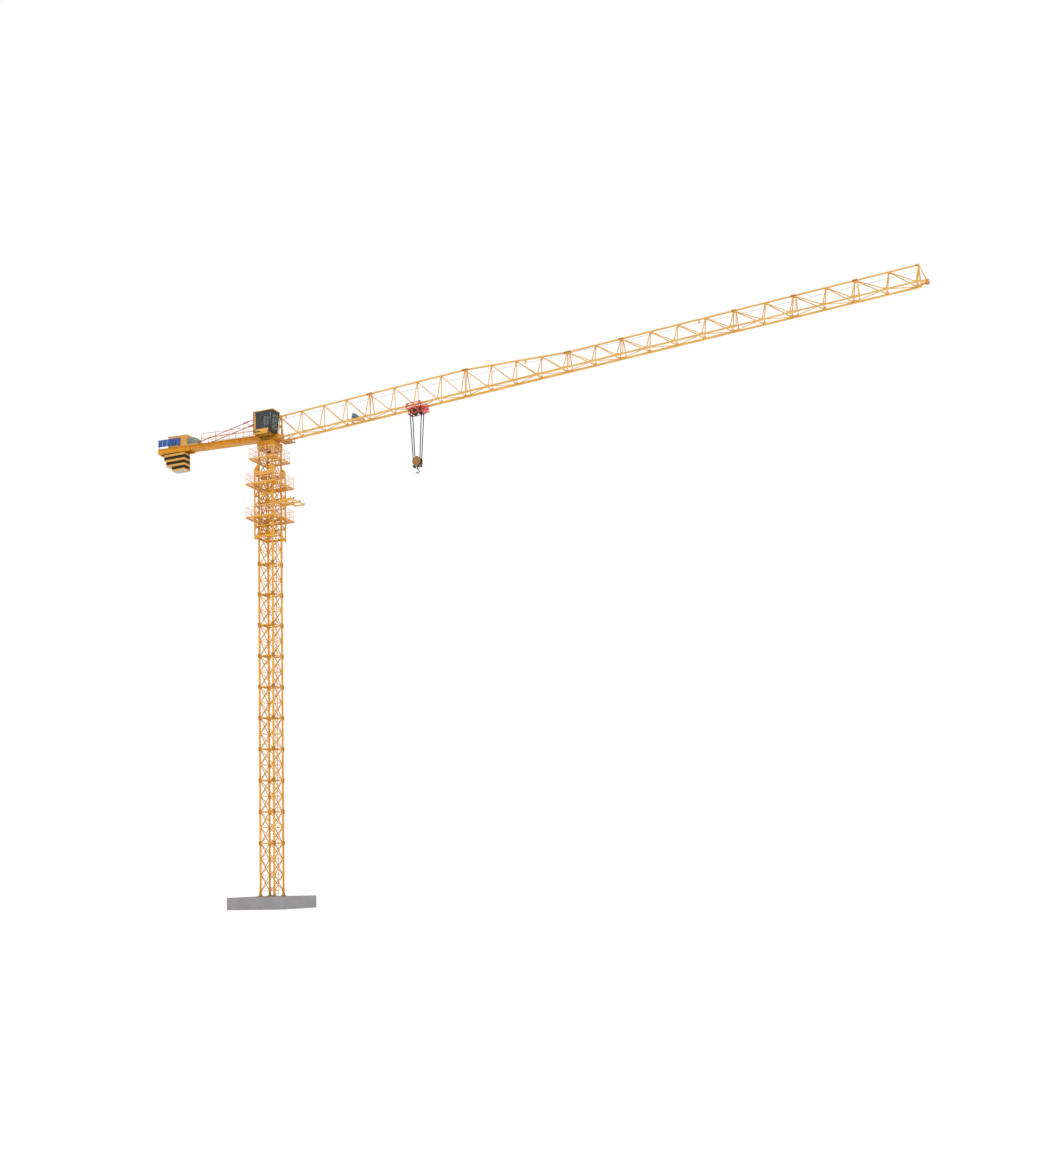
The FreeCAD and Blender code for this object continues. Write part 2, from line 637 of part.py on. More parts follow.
def build_turntable():
    wide = TURNTABLE_WIDTH / 2
    low, mid = TURNTABLE_BOTTOM, TURNTABLE_BOTTOM + TURNTABLE_TAPER
    base = 400.0

    def frame(x0, x1, half, z):
        return Part.makePolygon([V(x0, -half, z), V(x1, -half, z), V(x1, half, z), V(x0, half, z), V(x0, -half, z)])

    flare = Part.makeLoft([frame(-base, base, wide - 20, low), frame(-TURNTABLE_REAR, TURNTABLE_FRONT, wide, mid)],
                          True, True)
    pieces = [flare, box(-TURNTABLE_REAR, TURNTABLE_FRONT, -wide, wide, mid, TURNTABLE_TOP)]
    for s in (1, -1):
        y = s * JIB_HALF
        pieces.append(box(TURNTABLE_FRONT - 120, JIB_ROOT_X + 10, y - LOWER_CHORD / 2, y + LOWER_CHORD / 2,
                          JIB_ROOT_Z - LOWER_CHORD / 2 - 10, mid + 20))
    save("turntable", fuse(pieces).cut(beyond_jib_root()))


def beyond_jib_root():
    """Everything outboard of the jib's sloping root plane, for trimming what the jib bolts to."""
    return tilted(box(0, 400, -JIB_WIDTH, JIB_WIDTH, -JIB_DEPTH_ROOT, 2 * JIB_DEPTH_ROOT))


def build_head():
    rear, front = -TURNTABLE_REAR + HEAD_POST, TURNTABLE_FRONT - HEAD_POST
    half = HEAD_WIDTH / 2
    base, top = TURNTABLE_TOP, HEAD_TOP
    pieces = []
    for s in (1, -1):
        y = s * (half - HEAD_POST / 2)
        for x in (rear, front):
            pieces.append(box(x - HEAD_POST / 2, x + HEAD_POST / 2, y - HEAD_POST / 2, y + HEAD_POST / 2, base, top))
        pieces.append(bar((rear, y, top - HEAD_POST / 2), (front, y, top - HEAD_POST / 2), HEAD_POST))
        middle = (base + top) / 2
        pieces.append(bar((rear, y, middle), (front, y, middle), HEAD_BRACE))
        pieces.append(bar((rear, y, base), (front, y, middle), HEAD_BRACE))
        pieces.append(bar((rear, y, top - HEAD_POST), (front, y, middle), HEAD_BRACE))
    for x in (rear, front):
        pieces.append(bar((x, -half, top - HEAD_POST / 2), (x, half, top - HEAD_POST / 2), HEAD_POST))
    pieces.append(bar((rear, 0, top - HEAD_POST / 2), (front, 0, top - HEAD_POST / 2), HEAD_POST))
    nose_z = jib_point(0, 0, JIB_DEPTH_ROOT).z
    pieces.append(box(front - HEAD_POST / 2, JIB_ROOT_X, -TOP_CHORD / 2, TOP_CHORD / 2,
                      nose_z - TOP_CHORD / 2, top - HEAD_POST / 2))
    for s in (1, -1):
        y = s * TIE_SPACING / 2
        pieces.append(box(rear - TIE_LUG_SIZE, rear, y - 12, y + 12, top - HEAD_POST, top))
    room = box(-2 * TURNTABLE_REAR, 2 * TURNTABLE_FRONT, -half, half, base, top)
    save("tower_head", fuse(pieces).common(room).cut(beyond_jib_root()))


def jib_point(station, y, lift):
    """A point of the jib's own frame, in the crane's frame."""
    return tilted(Part.Vertex(V(station, y, lift))).Point


# ---------------------------------------------------------------- jib
def jib_depth(station):
    if station <= JIB_TAPER_FROM:
        return JIB_DEPTH_ROOT
    if station >= JIB_TAPER_TO:
        return JIB_DEPTH_TIP
    share = (station - JIB_TAPER_FROM) / (JIB_TAPER_TO - JIB_TAPER_FROM)
    return JIB_DEPTH_ROOT + share * (JIB_DEPTH_TIP - JIB_DEPTH_ROOT)


def jib_joints():
    ends = [0.0]
    for length in JIB_SECTIONS:
        ends.append(ends[-1] + length)
    return ends


def jib_nodes():
    """Stations of the top nodes, root to tip."""
    nodes = [0.0]
    for index, length in enumerate(JIB_SECTIONS):
        start = nodes[-1]
        count = round(length / JIB_PANEL)
        first = JIB_PANEL if index == 0 else JIB_LONG_PANEL
        rest = (length - first) / (count - 1)
        nodes += [start + first + k * rest for k in range(count)]
    return nodes


def top_chord():
    kinks = [0.0, JIB_TAPER_FROM, JIB_TAPER_TO, JIB_LENGTH]
    half = TOP_CHORD / 2
    halves = dict(zip(kinks, (half, half, half, TOP_CHORD_TIP / 2)))
    upper = [(s, -half, jib_depth(s) + halves[s]) for s in kinks]
    lower = [(s, -half, jib_depth(s) - halves[s]) for s in reversed(kinks)]
    return prism(upper + lower, (0, TOP_CHORD, 0))


def guide_plate(station):
    """A plate under the top chord that the hoist rope runs against."""
    z = jib_depth(station)
    return box(station - 30, station + 30, -12, 12, z - GUIDE_DROP, z)


def chord_lengths():
    """Start, end and size of each length of lower chord."""
    ends = [start for start, size in LOWER_CHORD_STEPS[1:]] + [JIB_LENGTH]
    return [(start, end, size) for (start, size), end in zip(LOWER_CHORD_STEPS, ends)]


def build_chords():
    plate = JOINT_PLATE / 2
    pieces = [top_chord()]
    for s in jib_joints()[1:-1]:
        z = jib_depth(s)
        pieces.append(box(s - JOINT_LENGTH / 2, s + JOINT_LENGTH / 2, -plate, plate, z - plate, z + plate))
    pieces += [guide_plate(s) for s in GUIDE_STATIONS]
    joined_top = fuse(pieces)
    lower = {}
    for name, side in (("left", 1), ("right", -1)):
        y = side * JIB_HALF
        half = LOWER_CHORD / 2
        pieces = [box(0, JIB_LENGTH, side * CHORD_OUTER, side * (CHORD_OUTER + LEDGE_WIDTH), -half, LEDGE_TOP)]
        for start, end, size in chord_lengths():
            pieces.append(box(start, end, side * (CHORD_OUTER - size), side * CHORD_OUTER, -half, size - half))
        for s in jib_joints()[1:-1]:
            inner = y - side * half
            pieces.append(box(s - JOINT_LENGTH / 2, s + JOINT_LENGTH / 2, inner - side * 14, y, -half, half + 12))
        lower[name] = fuse(pieces)
    save("jib_lower_chords", tilted(lower["left"]), tilted(lower["right"]))
    save("jib_top_chord", tilted(joined_top))
    return joined_top, lower


def build_jib_sides(top, lower):
    nodes = jib_nodes()
    joints = jib_joints()
    sides = []
    for name, side in (("left", 1), ("right", -1)):
        bars = []
        y = side * JIB_HALF

        def foot(s):
            return (s, y, 0)

        def peak(s):
            return (s, side * TOP_CHORD / 4, jib_depth(s))

        for here, after in zip(nodes, nodes[1:]):
            bars.append(bar(peak(here), foot(after - NODE_SETBACK), JIB_BRACE))
            bars.append(bar(peak(after), foot(after - NODE_SETBACK), JIB_BRACE))
            if any(abs(after - j) < 1 for j in joints[:-1]):
                bars.append(bar(peak(after + JOINT_LENGTH / 2), foot(after + JOINT_LENGTH / 2), JIB_BRACE))
        bars.append(bar(peak(JIB_BRACE / 2), foot(JIB_BRACE / 2), JIB_BRACE))
        bars.append(bar(peak(JIB_LENGTH - JIB_BRACE / 2), foot(JIB_LENGTH - JIB_BRACE / 2), JIB_BRACE))
        room = box(0, JIB_LENGTH, side * 1, side * (JIB_HALF + LOWER_CHORD), -LOWER_CHORD, 2 * JIB_DEPTH_ROOT)
        lattice = fuse(bars).common(room).cut(top).cut(lower[name])
        keep = [s for s in lattice.Solids if s.Volume > 3000]
        sides.append(Part.makeCompound(keep))
        save("jib_side_" + name, tilted(sides[-1]))
    return sides


def build_jib_floor(lower, sides):
    nodes = jib_nodes()
    joints = jib_joints()
    inner = JIB_HALF - LOWER_CHORD / 2 + FLOOR_LAP
    bars = []
    stations = [JIB_BRACE / 2] + [n - NODE_SETBACK for n in nodes[1:]]
    for s in stations:
        bars.append(bar((s, -inner, 0), (s, inner, 0), FLOOR_BAR))
    for k, (here, after) in enumerate(zip(stations, stations[1:])):
        s = 1 if k % 2 else -1
        bars.append(bar((here, -s * inner, 0), (after, s * inner, 0), FLOOR_BAR))
    end = JIB_LENGTH - FLOOR_BAR / 2
    bars.append(bar((end, -inner, 0), (end, inner, 0), FLOOR_BAR))
    bars.append(bar((stations[-1], -inner, 0), (end, inner, 0), FLOOR_BAR))
    floor = fuse(bars).cut(lower["left"]).cut(lower["right"])
    room = fuse([box(start, end, size - CHORD_OUTER, CHORD_OUTER - size, -LOWER_CHORD, LOWER_CHORD)
                 for start, end, size in chord_lengths()])
    floor = floor.common(room)
    for lattice in sides:
        floor = floor.cut(lattice)
    keep = [s for s in floor.Solids if s.Volume > 3000]
    save("jib_floor_lattice", tilted(Part.makeCompound(keep)))


def build_tip_head():
    """The boom's end: a cross plate, a post, raking bars and a nose that carries a drum between plates."""
    x0 = JIB_LENGTH
    nose = x0 + TIP_LENGTH
    plate = TIP_PLATE
    depth = jib_depth(JIB_LENGTH)
    low = -LOWER_CHORD / 2
    pieces = [box(x0, x0 + plate, -CHORD_OUTER, CHORD_OUTER, low, TIP_PLATE_TOP),
              box(x0, x0 + plate, -TIP_POST / 2, TIP_POST / 2, low, depth + TIP_POST / 2)]
    for side in (1, -1):
        y = side * (TIP_DRUM_WIDTH / 2 + plate / 2)
        pieces.append(box(x0, nose, y - plate / 2, y + plate / 2, low, TIP_PLATE_TOP))
        pieces.append(bar((x0 + plate, side * plate / 2, depth - TIP_POST / 2), (nose - plate, y, TIP_PLATE_TOP - plate), plate))
    pieces.append(rod((nose, -TIP_DRUM_WIDTH / 2 - plate, 0), (nose, TIP_DRUM_WIDTH / 2 + plate, 0), TIP_DRUM_RADIUS))
    save("jib_tip_head", tilted(fuse(pieces)))


def build_trolley_winch():
    x0, x1 = TROLLEY_WINCH_FROM, TROLLEY_WINCH_FROM + TROLLEY_WINCH_LENGTH
    seat = LOWER_CHORD / 2
    bearer = 40.0
    pieces = []
    for x in (x0 + bearer, x1 - bearer):
        pieces.append(box(x - bearer / 2, x + bearer / 2, -CHORD_OUTER, CHORD_OUTER, seat, seat + bearer))
    pieces.append(box(x0, x1, -TROLLEY_WINCH_WIDTH / 2, TROLLEY_WINCH_WIDTH / 2, seat + bearer / 2,
                      seat + bearer + 12))
    base = seat + bearer + 10
    mid = (x0 + x1) / 2
    half = TROLLEY_WINCH_HOUSING / 2
    width = TROLLEY_WINCH_WIDTH / 2 - 10
    outline = [(mid - half, -width, base), (mid + half, -width, base),
               (mid + half, -width, base + TROLLEY_WINCH_HEIGHT * 0.15),
               (mid + half * 0.1, -width, base + TROLLEY_WINCH_HEIGHT * 0.75),
               (mid - half * 0.65, -width, base + TROLLEY_WINCH_HEIGHT),
               (mid - half, -width, base + TROLLEY_WINCH_HEIGHT * 0.2)]
    pieces.append(prism(outline, (0, 2 * width, 0)))
    save("trolley_winch", tilted(fuse(pieces)))


def build_running_rope():
    """The hoist rope from the winch over the jib's rope guides to its anchor on the tip post."""
    points = [raised_point(-WINCH_FRONT - WINCH_BEVEL, 0, COUNTER_DECK_TOP + WINCH_HEIGHT * WINCH_ROPE_SHARE)]
    points += [jib_point(s, 0, jib_depth(s) - GUIDE_DROP) for s in GUIDE_STATIONS]
    points.append(jib_point(JIB_LENGTH, 0, TIP_ROPE_SHARE * jib_depth(JIB_LENGTH)))
    runs = [rod(tuple(a), tuple(b), LINE_RADIUS) for a, b in zip(points, points[1:])]
    runs += [Part.makeSphere(LINE_RADIUS, p) for p in points[1:-1]]
    rope = fuse(runs)
    guides = [tilted(guide_plate(s)) for s in GUIDE_STATIONS]
    for obstacle in guides + [winch_housing()]:
        rope = rope.cut(obstacle)
    save("hoist_rope", rope)


# ---------------------------------------------------------------- cab
def cab_outline(y):
    return [(CAB_REAR, y, CAB_FLOOR), (CAB_SILL, y, CAB_FLOOR), (CAB_TOE, y, CAB_FLOOR + CAB_TOE_RISE),
            (CAB_BROW, y, CAB_ROOF - BROW_HEIGHT), (CAB_BROW - BROW_SETBACK, y, CAB_ROOF), (CAB_REAR, y, CAB_ROOF)]


def windscreen_x(z):
    """Outside of the leaning windscreen at a height."""
    foot = CAB_FLOOR + CAB_TOE_RISE
    return CAB_TOE + (CAB_BROW - CAB_TOE) * (z - foot) / (CAB_ROOF - BROW_HEIGHT - foot)


def slab_between(low, high, y0, y1, depth, thickness):
    """A flat pane from one side-view point to another, set back from the line between them."""
    run = V(high[0] - low[0], 0, high[1] - low[1]).normalize()
    inward = V(-run.z, 0, run.x)
    corners = []
    for point, back in ((low, depth), (high, depth), (high, depth + thickness), (low, depth + thickness)):
        corners.append(tuple(V(point[0], y0, point[1]) + inward * back))
    return prism(corners, (0, y1 - y0, 0))


def build_cab():
    width = CAB_INNER_Y - CAB_OUTER_Y
    outer = prism(cab_outline(CAB_OUTER_Y), (0, width, 0))
    wire = Part.makePolygon([V(*p) for p in cab_outline(CAB_OUTER_Y) + cab_outline(CAB_OUTER_Y)[:1]])
    inset = Part.Face(wire).makeOffset2D(-CAB_WALL, 2)
    inset.translate(V(0, CAB_WALL, 0))
    shell = outer.cut(inset.extrude(V(0, width - 2 * CAB_WALL, 0)))
    panes = []
    setback = (CAB_WALL - GLASS) / 2

    # the same two windows in each flank: one over the door, one behind the windscreen
    rear, front, sill, head = SIDE_WINDOW
    quarter, low, high = QUARTER_WINDOW
    low, high = CAB_FLOOR + low, CAB_FLOOR + high
    outlines = [[(rear, CAB_FLOOR + sill), (front, CAB_FLOOR + sill), (front, CAB_FLOOR + head),
                 (rear, CAB_FLOOR + head)],
                [(quarter, low), (windscreen_x(low) - CAB_PILLAR, low),
                 (windscreen_x(high) - CAB_PILLAR, high), (quarter, high)]]
    for outline in outlines:
        shell = shell.cut(prism([(x, CAB_OUTER_Y - 5, z) for x, z in outline], (0, width + 10, 0)))
        for y in (CAB_OUTER_Y + setback, CAB_INNER_Y - setback - GLASS):
            panes.append(prism([(x, y, z) for x, z in outline], (0, GLASS, 0)))

    # windscreen and the sloping pane at the operator's feet
    y0, y1 = CAB_OUTER_Y + CAB_PILLAR, CAB_INNER_Y - CAB_PILLAR
    toe_slope = CAB_TOE_RISE / (CAB_TOE - CAB_SILL)
    toe_rear, toe_front = CAB_SILL + CAB_PILLAR, CAB_TOE - CAB_PILLAR
    spans = [((windscreen_x(low), low), (windscreen_x(high - CAB_PILLAR), high - CAB_PILLAR)),
             ((toe_rear, CAB_FLOOR + (toe_rear - CAB_SILL) * toe_slope),
              (toe_front, CAB_FLOOR + (toe_front - CAB_SILL) * toe_slope))]
    for foot, top in spans:
        shell = shell.cut(slab_between(foot, top, y0, y1, -5, CAB_WALL + 10))
        panes.append(slab_between(foot, top, y0, y1, setback, GLASS))
    save("cab_shell", shell)
    save("cab_glass", *panes)

    # deck under the cab: a plate on three bearers, carried by two brackets on the turntable
    side_y = -TURNTABLE_WIDTH / 2
    x0, x1 = CAB_REAR - CAB_DECK_EDGE, CAB_SILL - 8
    deck_bottom = CAB_FLOOR - CAB_DECK_DEPTH
    pieces = [box(x0, x1, CAB_OUTER_Y, side_y, CAB_FLOOR - CAB_DECK_PLATE, CAB_FLOOR)]
    for y in (CAB_OUTER_Y, (CAB_OUTER_Y + side_y - CAB_BEARER) / 2, side_y - CAB_BEARER):
        pieces.append(box(x0, x1, y, y + CAB_BEARER, deck_bottom, CAB_FLOOR))
    for x in (CAB_REAR + 40, CAB_SILL - 120):
        pieces.append(prism([(x, side_y, TURNTABLE_BOTTOM + TURNTABLE_TAPER), (x, side_y, CAB_FLOOR - 10),
                             (x, CAB_OUTER_Y + 5, CAB_FLOOR - 10), (x, CAB_OUTER_Y + 5, deck_bottom)],
                            (30, 0, 0)))
    save("cab_deck", fuse(pieces))


# ---------------------------------------------------------------- counter-jib
def build_counter_jib():
    rear = -TURNTABLE_REAR
    low = GIRDER_TOP - GIRDER_DEPTH
    tail_low = GIRDER_TOP - TAIL_DEPTH
    half = GIRDER_WIDTH / 2
    root = rear + 2 * CROSS_BAR          # drawn past the turntable, then trimmed to its face
    pieces = []
    for s in (1, -1):
        y = s * GIRDER_SPACING / 2
        pieces.append(box(root, -GIRDER_END, y - half, y + half, low, low + GIRDER_FLANGE))
        pieces.append(box(root, -TAIL_END, y - half, y + half, GIRDER_TOP - GIRDER_FLANGE, GIRDER_TOP))
        pieces.append(box(root, -GIRDER_END, y - GIRDER_WEB / 2, y + GIRDER_WEB / 2, low, GIRDER_TOP))
        pieces.append(box(-GIRDER_END + TAIL_LAP, -TAIL_END, y - half, y + half, tail_low, GIRDER_TOP))
        pieces.append(box(root, rear - CROSS_BAR, y - half, y + half, low, GIRDER_TOP))
    inner = GIRDER_SPACING / 2
    x = rear - CROSS_BAR
    while x > -TAIL_END:
        foot = tail_low if x < -GIRDER_END + CROSS_BAR else low
        pieces.append(box(x - CROSS_BAR / 2, x + CROSS_BAR / 2, -inner, inner, foot + CROSS_BAR / 2,
                          GIRDER_TOP - GIRDER_FLANGE))
        x -= CROSS_PITCH
    pieces.append(box(-TAIL_END, -TAIL_END + CROSS_BAR, -inner, inner, tail_low, GIRDER_TOP))
    turntable_room = box(rear, TURNTABLE_FRONT, -SLAB_SIDE, SLAB_SIDE, low - TAIL_DEPTH, GIRDER_TOP + TAIL_DEPTH)
    save("counter_jib_frame", raised(fuse(pieces)).cut(turntable_room))

    half = COUNTER_DECK_WIDTH / 2
    start = rear - 10
    save("counter_jib_deck", raised(box(start, -TAIL_END, -half, half, GIRDER_TOP, COUNTER_DECK_TOP)))

    rails = []
    for s in (1, -1):
        y = s * (half - RAIL_SIZE)
        pieces = []
        x = start - 80
        count = int((COUNTER_RAIL_END + x) // COUNTER_RAIL_PITCH)
        step = (COUNTER_RAIL_END + x) / count
        for k in range(count + 1):
            post = x - k * step
            pieces.append(box(post - RAIL_SIZE / 2, post + RAIL_SIZE / 2, y - RAIL_SIZE / 2, y + RAIL_SIZE / 2,
                              COUNTER_DECK_TOP, COUNTER_DECK_TOP + COUNTER_RAIL_HEIGHT))
        for z in (COUNTER_RAIL_HEIGHT - RAIL_SIZE / 2, COUNTER_RAIL_HEIGHT / 2):
            pieces.append(box(x, -COUNTER_RAIL_END, y - RAIL_SIZE / 2, y + RAIL_SIZE / 2,
                              COUNTER_DECK_TOP + z - RAIL_SIZE / 2, COUNTER_DECK_TOP + z + RAIL_SIZE / 2))
        rails.append(raised(fuse(pieces)))
    save("counter_jib_rails", *rails)


def build_ties():
    ties = []
    rear = -TURNTABLE_REAR + HEAD_POST - TIE_LUG_SIZE
    for s in (1, -1):
        y = s * TIE_SPACING / 2
        high = V(rear, y, HEAD_TOP - HEAD_POST / 2)
        low = raised_point(-TIE_FOOT, y, COUNTER_DECK_TOP + TIE_FOOT_RISE)
        along = (low - high).normalize()
        sleeve = high + along * CONNECTOR_FROM_TOP
        foot = raised(box(-TIE_FOOT - 40, -TIE_FOOT + 40, y - 15, y + 15, COUNTER_DECK_TOP,
                          COUNTER_DECK_TOP + TIE_FOOT_RISE + 25))
        ties.append(fuse([rod(high, low, TIE_RADIUS), rod(sleeve, sleeve + along * CONNECTOR_LENGTH, CONNECTOR_RADIUS),
                          foot]))
    cut_head = box(rear, 0, -HEAD_WIDTH, HEAD_WIDTH, HEAD_TOP - 2 * HEAD_POST, HEAD_TOP + HEAD_POST)
    save("tie_bars", *[t.cut(cut_head) for t in ties])


def winch_housing():
    base = COUNTER_DECK_TOP
    x1 = -WINCH_FRONT
    x0 = x1 - WINCH_LENGTH
    half = WINCH_WIDTH / 2
    outline = [(x0, -half, base), (x1, -half, base), (x1, -half, base + WINCH_HEIGHT * 0.12),
               (x1 - WINCH_BEVEL, -half, base + WINCH_HEIGHT * 0.9),
               (x1 - 2 * WINCH_BEVEL, -half, base + WINCH_HEIGHT), (x0, -half, base + WINCH_HEIGHT)]
    return raised(prism(outline, (0, 2 * half, 0)))


def build_machinery():
    base = COUNTER_DECK_TOP
    save("hoist_winch", winch_housing())
    cab1 = -WINCH_FRONT - WINCH_LENGTH - CABINET_GAP
    half = CABINET_WIDTH / 2
    save("switch_cabinet", raised(box(cab1 - CABINET_LENGTH, cab1, -half, half, base, base + CABINET_HEIGHT)))

    y = -COUNTER_DECK_WIDTH / 2
    low = base + SIGN_LIFT
    total = SIGN_PANELS * SIGN_PANEL_LENGTH + (SIGN_PANELS - 1) * SIGN_GAP
    pieces = []
    for k in range(SIGN_PANELS):
        x = -SIGN_FRONT - k * (SIGN_PANEL_LENGTH + SIGN_GAP)
        pieces.append(box(x, x - SIGN_PANEL_LENGTH, y, y + SIGN_THICKNESS, low, low + SIGN_HEIGHT))
    for z in (low + 40, low + SIGN_HEIGHT - 40):
        pieces.append(box(-SIGN_FRONT - 20, -SIGN_FRONT - total + 20, y + SIGN_THICKNESS - 4,
                          y + SIGN_THICKNESS + 12, z - 10, z + 10))
    for k in range(3):
        x = -SIGN_FRONT - 60 - k * (total - 120) / 2
        pieces.append(box(x - 10, x + 10, y + SIGN_THICKNESS, y + SIGN_THICKNESS + 20, base, low + SIGN_HEIGHT - 30))
    save("sign_panels", raised(fuse(pieces)))


def build_counterweights():
    """Slabs that hang plumb, their tops trimmed to the sloping underside of the tail frame."""
    under = GIRDER_TOP - TAIL_DEPTH
    frame_room = raised(box(-WEIGHT_FRONT + WEIGHT_WIDTH, -TAIL_END, -WEIGHT_WIDTH, WEIGHT_WIDTH, under,
                            under + 2 * TAIL_DEPTH))
    half = WEIGHT_WIDTH / 2
    x = -WEIGHT_FRONT
    slabs = []
    for count, thickness, depth in WEIGHT_GROUPS:
        bottom = raised_point(x, 0, under).z - depth
        for _ in range(count):
            slab = box(x - thickness, x, -half, half, bottom, bottom + depth + TAIL_DEPTH)
            slabs.append(slab.cut(frame_room))
            x -= thickness + WEIGHT_GAP
    save("counterweights", *slabs)


def build_service_platform():
    """A small grated platform hung from the jib's lower chords, in front of the turntable."""
    half = SERVICE_WIDTH / 2
    pieces = [box(SERVICE_REAR, SERVICE_FRONT, -half, half, SERVICE_LEVEL - DECK_THICKNESS, SERVICE_LEVEL)]
    for x in (SERVICE_REAR + 60, SERVICE_FRONT - 40):
        for s in (1, -1):
            y = s * (half - RAIL_SIZE / 2)
            under = jib_point((x - JIB_ROOT_X) / math.cos(math.radians(JIB_SLOPE)), 0, -LOWER_CHORD / 2).z
            pieces.append(box(x - RAIL_SIZE / 2, x + RAIL_SIZE / 2, y - RAIL_SIZE / 2, y + RAIL_SIZE / 2,
                              SERVICE_LEVEL - 5, under + 10))
    platform = fuse(pieces)
    chords = [tilted(box(0, 2000, s * (JIB_HALF - LOWER_CHORD / 2), s * CHORD_OUTER, -LOWER_CHORD / 2, 3 * LOWER_CHORD))
              for s in (1, -1)]
    for chord in chords:
        platform = platform.cut(chord)
    save("service_platform", max(platform.Solids, key=lambda s: s.Volume))


# ---------------------------------------------------------------- trolley and hook
def trolley_station():
    return (TROLLEY_X - JIB_ROOT_X) / math.cos(math.radians(JIB_SLOPE))


def build_trolley():
    s0 = trolley_station()
    half = TROLLEY_LENGTH / 2
    roller_in = CHORD_OUTER + ROLLER_SIDE_GAP
    plate_in = CHORD_OUTER + LEDGE_WIDTH + 6
    pieces = []
    for s in (1, -1):
        pieces.append(box(s0 - half, s0 + half, s * plate_in, s * (plate_in + SIDE_PLATE),
                          -SIDE_PLATE_BOTTOM, SIDE_PLATE_TOP))
        y = s * CHEEK_SPACING / 2
        pieces.append(box(s0 - half + CROSS_BEAM / 2, s0 + half - CROSS_BEAM / 2, y, y + s * CHEEK_THICKNESS,
                          -CHEEK_BOTTOM, -CHEEK_TOP))
    for end in (1, -1):
        x = s0 + end * (half - CROSS_BEAM / 2)
        pieces.append(box(x - CROSS_BEAM / 2, x + CROSS_BEAM / 2, -plate_in, plate_in,
                          -SIDE_PLATE_BOTTOM, -SIDE_PLATE_BOTTOM + CROSS_BEAM))
        pieces.append(box(x - CROSS_BEAM / 2, x + CROSS_BEAM / 2, -CHEEK_SPACING / 2, CHEEK_SPACING / 2,
                          -CHEEK_BOTTOM, -CHEEK_BOTTOM + CROSS_BEAM))
    save("trolley_frame", tilted(fuse(pieces)))

    rollers = []
    z = LEDGE_TOP + ROLLER_SEAT_GAP + ROLLER_RADIUS
    for s in (1, -1):
        for end in (1, -1):
            x = s0 + end * ROLLER_STATION
            wheel = rod((x, s * roller_in, z), (x, s * (roller_in + ROLLER_WIDTH), z), ROLLER_RADIUS)
            axle = rod((x, s * roller_in, z), (x, s * plate_in, z), AXLE_RADIUS)
            rollers.append(fuse([wheel, axle]))
    save("trolley_rollers", *[tilted(r) for r in rollers])

    sheaves = []
    for end in (1, -1):
        x = s0 + end * SHEAVE_STATION
        shaft = rod((x, -CHEEK_SPACING / 2, -SHEAVE_DROP), (x, CHEEK_SPACING / 2, -SHEAVE_DROP), SHAFT_RADIUS)
        wheels = [rod((x, y - SHEAVE_WIDTH / 2, -SHEAVE_DROP), (x, y + SHEAVE_WIDTH / 2, -SHEAVE_DROP),
                      SHEAVE_RADIUS) for y in (SHEAVE_OFFSET, -SHEAVE_OFFSET)]
        sheaves.append(fuse([shaft] + wheels))
    save("trolley_sheaves", *[tilted(s) for s in sheaves])

    # maintenance basket on the outboard end
    x0, x1 = s0 + half, s0 + half + BASKET_LENGTH
    b = BASKET_BAR
    pieces = [box(x0, x1, BASKET_RIGHT, BASKET_LEFT, -BASKET_BOTTOM, -BASKET_BOTTOM + b)]
    for z in (-BASKET_TOP, -(BASKET_TOP + BASKET_BOTTOM) / 2):
        ring = box(x0, x1, BASKET_RIGHT, BASKET_LEFT, z - b, z)
        pieces.append(ring.cut(box(x0 + b, x1 - b, BASKET_RIGHT + b, BASKET_LEFT - b, z - 2 * b, z + b)))
    for x in (x0, x1 - b):
        for y in (BASKET_RIGHT, BASKET_LEFT - b):
            pieces.append(box(x, x + b, y, y + b, -BASKET_BOTTOM, -BASKET_TOP))
    save("trolley_basket", tilted(fuse(pieces)))


def build_rope_falls():
    """Four falls, each along the outer tangent of a trolley sheave and a block sheave."""
    s0 = trolley_station()
    upper_radius = SHEAVE_RADIUS + ROPE_RADIUS + ROPE_GAP
    lower_radius = BLOCK_SHEAVE_RADIUS + ROPE_RADIUS + ROPE_GAP
    falls = []
    for end in (1, -1):
        hub = jib_point(s0 + end * SHEAVE_STATION, 0, -SHEAVE_DROP)
        block_hub = V(TROLLEY_X, 0, BLOCK_SHEAVE_Z)
        run = block_hub - hub
        down = V(run).normalize()
        outward = V(-down.z, 0, down.x) * end
        lean = (upper_radius - lower_radius) / run.Length
        normal = outward * math.sqrt(1 - lean * lean) + down * lean
        for s in (1, -1):
            high = hub + normal * upper_radius + V(0, s * SHEAVE_OFFSET, 0)
            low = block_hub + normal * lower_radius + V(0, s * BLOCK_SHEAVE_OFFSET, 0)
            falls.append(rod(tuple(high), tuple(low), ROPE_RADIUS))
    save("rope_falls", *falls)


